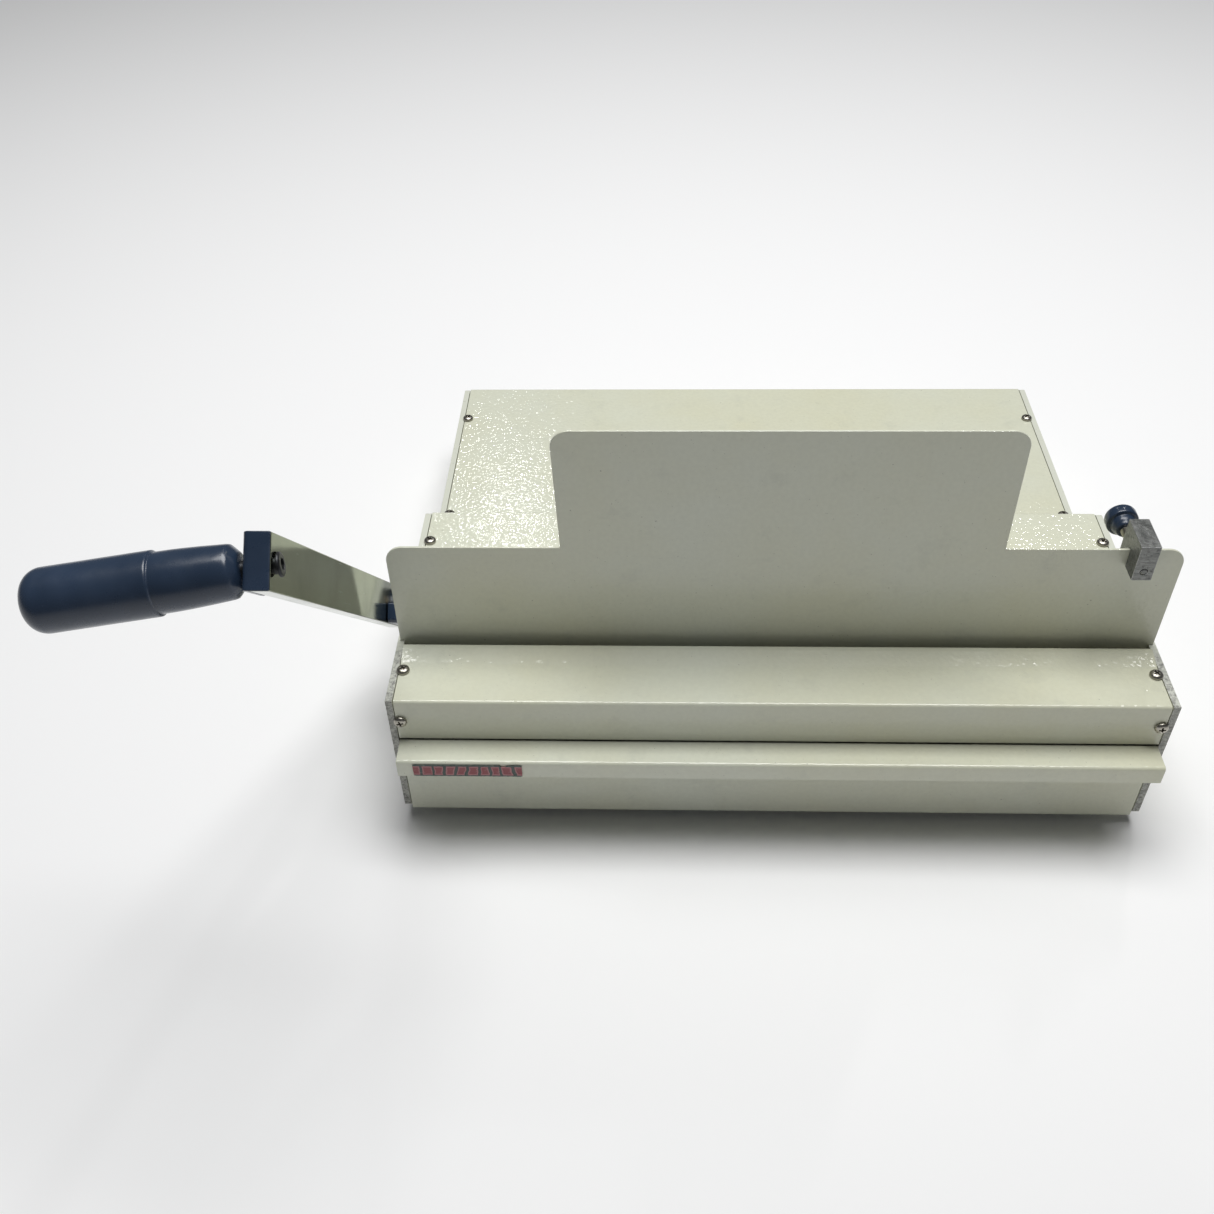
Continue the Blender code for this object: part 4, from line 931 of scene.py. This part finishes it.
def make_label():
    """A thin strip with nicked edges and one torn place along the top."""
    low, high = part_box("tray_label")
    middle = (low + high) / 2
    size = high - low
    columns = 60
    bm = bmesh.new()
    rows = []
    for i in range(columns + 1):
        x = -size.x / 2 + size.x * i / columns
        torn = DRAWS.uniform(0, 0.35 * MM) + (1.1 * MM if 0.8 < i / columns < 0.86 else 0)
        nick = DRAWS.uniform(0, 0.25 * MM)
        inset = 0.5 * MM if i in (0, columns) else 0
        rows.append((x, -size.z / 2 + nick + inset, size.z / 2 - torn - inset))
    near, far = ([[bm.verts.new((x, y, low_z)), bm.verts.new((x, y, high_z))] for x, low_z, high_z in rows]
                 for y in (-size.y / 2, size.y / 2))
    for a, b, c, d in zip(near, near[1:], far, far[1:]):
        bm.faces.new((a[0], b[0], b[1], a[1]))
        bm.faces.new((c[0], c[1], d[1], d[0]))
        bm.faces.new((a[0], c[0], d[0], b[0]))
        bm.faces.new((a[1], b[1], d[1], c[1]))
    for a, c in ((near[0], far[0]), (near[-1], far[-1])):
        bm.faces.new((a[0], a[1], c[1], c[0]))
    piece("label_strip", bm, "label", "tray", ["tray_label"], matrix=Matrix.Translation(middle))


# Side guide

def make_guide_block():
    """Sawn block that straddles the rest, with a hole for the pin in front and for the stud behind."""
    low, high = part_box("guide_block")
    centre = (low + high) / 2
    slot0, slot1 = back(REST_FRONT - GUIDE_CLEARANCE), back(REST_FRONT + SHEET_T + GUIDE_CLEARANCE)
    roof = down(-GUIDE_ROOF_H)
    outline = [(low.y, low.z), (slot0, low.z), (slot0, roof), (slot1, roof), (slot1, low.z),
               (high.y, low.z), (high.y, high.z), (low.y, high.z)]
    bm = bmesh.new()
    add_prism(bm, [(low.x - centre.x, y - centre.y, z - centre.z) for y, z in outline],
              (high.x - low.x, 0, 0))
    holes = []
    for r, depth, y in ((2 * MM, 8.5 * MM, low.y - MM), (STUD_R + GAP, 20 * MM, slot1 - 0.5 * MM)):
        hole = bmesh.new()
        add_turned(hole, [(0, r), (depth, r)], (0, y - centre.y, down(-CLAMP_H) - centre.z), (0, 1, 0), 40)
        holes.append(hole)
    piece("guide_body", carved(bm, holes), "aluminium", "guide", ["guide_block"],
          matrix=Matrix.Translation(centre), bevel=0.4 * MM, segments=2)

    pin = bmesh.new()
    add_turned(pin, [(0, 1.1 * MM), (0.12 * MM, 1.5 * MM), (0.35 * MM, 1.75 * MM), (6.5 * MM, 1.75 * MM)],
               (GUIDE_X, low.y - 0.25 * MM, down(-CLAMP_H)), (0, 1, 0), 40)
    piece("guide_pin_head", pin, "aluminium", "guide", ["guide_pin"])


def make_clamp():
    """Stud that presses on the rest from behind, and its stepped round knob."""
    tip = REST_FRONT + SHEET_T + GAP
    stud = bmesh.new()
    threaded(stud, (GUIDE_X, back(tip), down(-CLAMP_H)), (0, 1, 0), KNOB_FRONT + 8 * MM - tip, STUD_R, MM)
    piece("clamp_screw", stud, "nickel", "clamp", ["clamp_stud"])

    knob = bmesh.new()
    big, neck = KNOB_R, KNOB_NECK_R
    profile = [(0, 3.3 * MM), (0, 4.5 * MM), (0.2 * MM, 4.9 * MM), (1.2 * MM, 5.2 * MM), (2.2 * MM, 5.8 * MM),
               (3 * MM, 6.3 * MM), (3.8 * MM, 6.55 * MM), (5.4 * MM, neck), (5.9 * MM, neck + 0.1 * MM),
               (6.05 * MM, neck + 0.5 * MM), (6.2 * MM, big - 0.6 * MM), (6.5 * MM, big - 0.2 * MM),
               (7.1 * MM, big), (11.6 * MM, big), (12.6 * MM, big - 0.35 * MM), (13.4 * MM, big - 1.1 * MM),
               (13.9 * MM, big - 2.4 * MM), (14 * MM, big - 4.5 * MM)]
    add_turned(knob, profile, (GUIDE_X, back(KNOB_FRONT), down(-CLAMP_H)), (0, 1, 0), 72)
    piece("knob", knob, "navy_plastic", "clamp", ["clamp_knob"], limit=60)


# Feet and springs

def make_feet():
    """Rubber feet that taper downwards, with a hollow round the fixing screw."""
    for end in ("front", "rear"):
        for side, _ in SIDES:
            low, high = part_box(f"foot_{end}_{side}")
            middle = (low + high) / 2
            r, tall = (high.x - low.x) / 2, high.z - low.z
            profile = [(0, r - 0.5 * MM), (0.6 * MM, r), (tall * 0.55, r - 0.6 * MM),
                       (tall - MM, r - 1.6 * MM), (tall - 0.3 * MM, r - 2.1 * MM), (tall, r - 3 * MM),
                       (tall, 5 * MM), (tall - 2.5 * MM, 4.6 * MM)]
            bm = bmesh.new()
            add_turned(bm, profile, (middle.x, middle.y, high.z), (0, 0, -1), 48)
            piece(f"foot_pad_{end}_{side}", bm, "rubber", "chassis", [f"foot_{end}_{side}"], limit=40)


def make_springs():
    """Round-wire return springs that stretch between the chassis and the arms on the shaft."""
    wire = 0.7 * MM
    for side, _ in SIDES:
        low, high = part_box(f"return_spring_{side}")
        middle = (low + high) / 2
        radius = (high.x - low.x) / 2 - wire
        turns, steps, sides = 8, 24, 10
        bm = bmesh.new()
        rings = []
        count = turns * steps
        for i in range(count + 1):
            a = math.tau * i / steps
            z = low.z + wire + (high.z - low.z - 2 * wire) * i / count
            out = Vector((math.cos(a), math.sin(a), 0))
            centre = Vector((middle.x, middle.y, z)) + out * radius
            rings.append([bm.verts.new(centre + out * wire * math.cos(b) + Vector((0, 0, wire * math.sin(b))))
                          for b in (math.tau * k / sides for k in range(sides))])
        for before, after in zip(rings, rings[1:]):
            for k in range(sides):
                m = (k + 1) % sides
                bm.faces.new((before[k], before[m], after[m], after[k]))
        bm.faces.new(list(reversed(rings[0])))
        bm.faces.new(rings[-1])
        coil = piece(f"spring_coil_{side}", bm, "tool_steel", None, [f"return_spring_{side}"])
        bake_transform(coil)


def finish_kept_nodes():
    """CAD nodes that stay in view get rounded edges and their finish."""
    for material, width, names in KEPT:
        for name in names:
            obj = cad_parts[name]
            obj.data.materials.clear()
            obj.data.materials.append(MATERIALS[material])
            weld = obj.modifiers.new("weld", "WELD")
            weld.merge_threshold = 0.00001
            round_edges(obj, width, 2, 40)


# Floor and light

def make_floor():
    n = Nodes("floor")
    n.set(Base_Color=(0.9, 0.9, 0.9), Roughness=0.9, Specular_IOR_Level=0.1)
    n.set(Normal=n.bump(n.noise(40, 3, 0.5), 0.0002, 0.1))
    bm = bmesh.new()
    corners = ((-1, -1), (1, -1), (1, 1), (-1, 1))
    bm.faces.new([bm.verts.new((x * FLOOR_HALF, y * FLOOR_HALF, FLOOR_Z)) for x, y in corners])
    mesh = bpy.data.meshes.new("floor")
    bm.to_mesh(mesh)
    bm.free()
    mesh.materials.append(n.made)
    floor = bpy.data.objects.new("floor", mesh)
    bpy.context.scene.collection.objects.link(floor)


def make_lights():
    """A dim even world, one large lamp overhead and two small ones behind that glint on the paint."""
    scene = bpy.context.scene
    scene.view_settings.view_transform = "Standard"
    scene.view_settings.look = "None"
    scene.world = bpy.data.worlds.new("studio")
    scene.world.use_nodes = True
    background = scene.world.node_tree.nodes["Background"]
    background.inputs["Color"].default_value = (0.9, 0.92, 0.95, 1)
    background.inputs["Strength"].default_value = 0.1
    for name, place, aim, size, power in LIGHTS:
        data = bpy.data.lights.new(name, "AREA")
        data.shape = "RECTANGLE"
        data.size, data.size_y = size
        data.energy = power
        light = bpy.data.objects.new(name, data)
        light.location = place
        light.rotation_mode = "QUATERNION"
        light.rotation_quaternion = (Vector(aim) - Vector(place)).to_track_quat("-Z", "Y")
        scene.collection.objects.link(light)


MATERIALS = make_materials()
make_camera()
make_floor()
make_lights()
make_body()
make_side_plates()
make_rest()
make_screws()
make_plate_screws()
make_lever()
make_shaft()
make_handle_cap()
make_handle_bolt()
make_grip()
make_tray()
make_label()
make_guide_block()
make_clamp()
make_feet()
make_springs()
finish_kept_nodes()
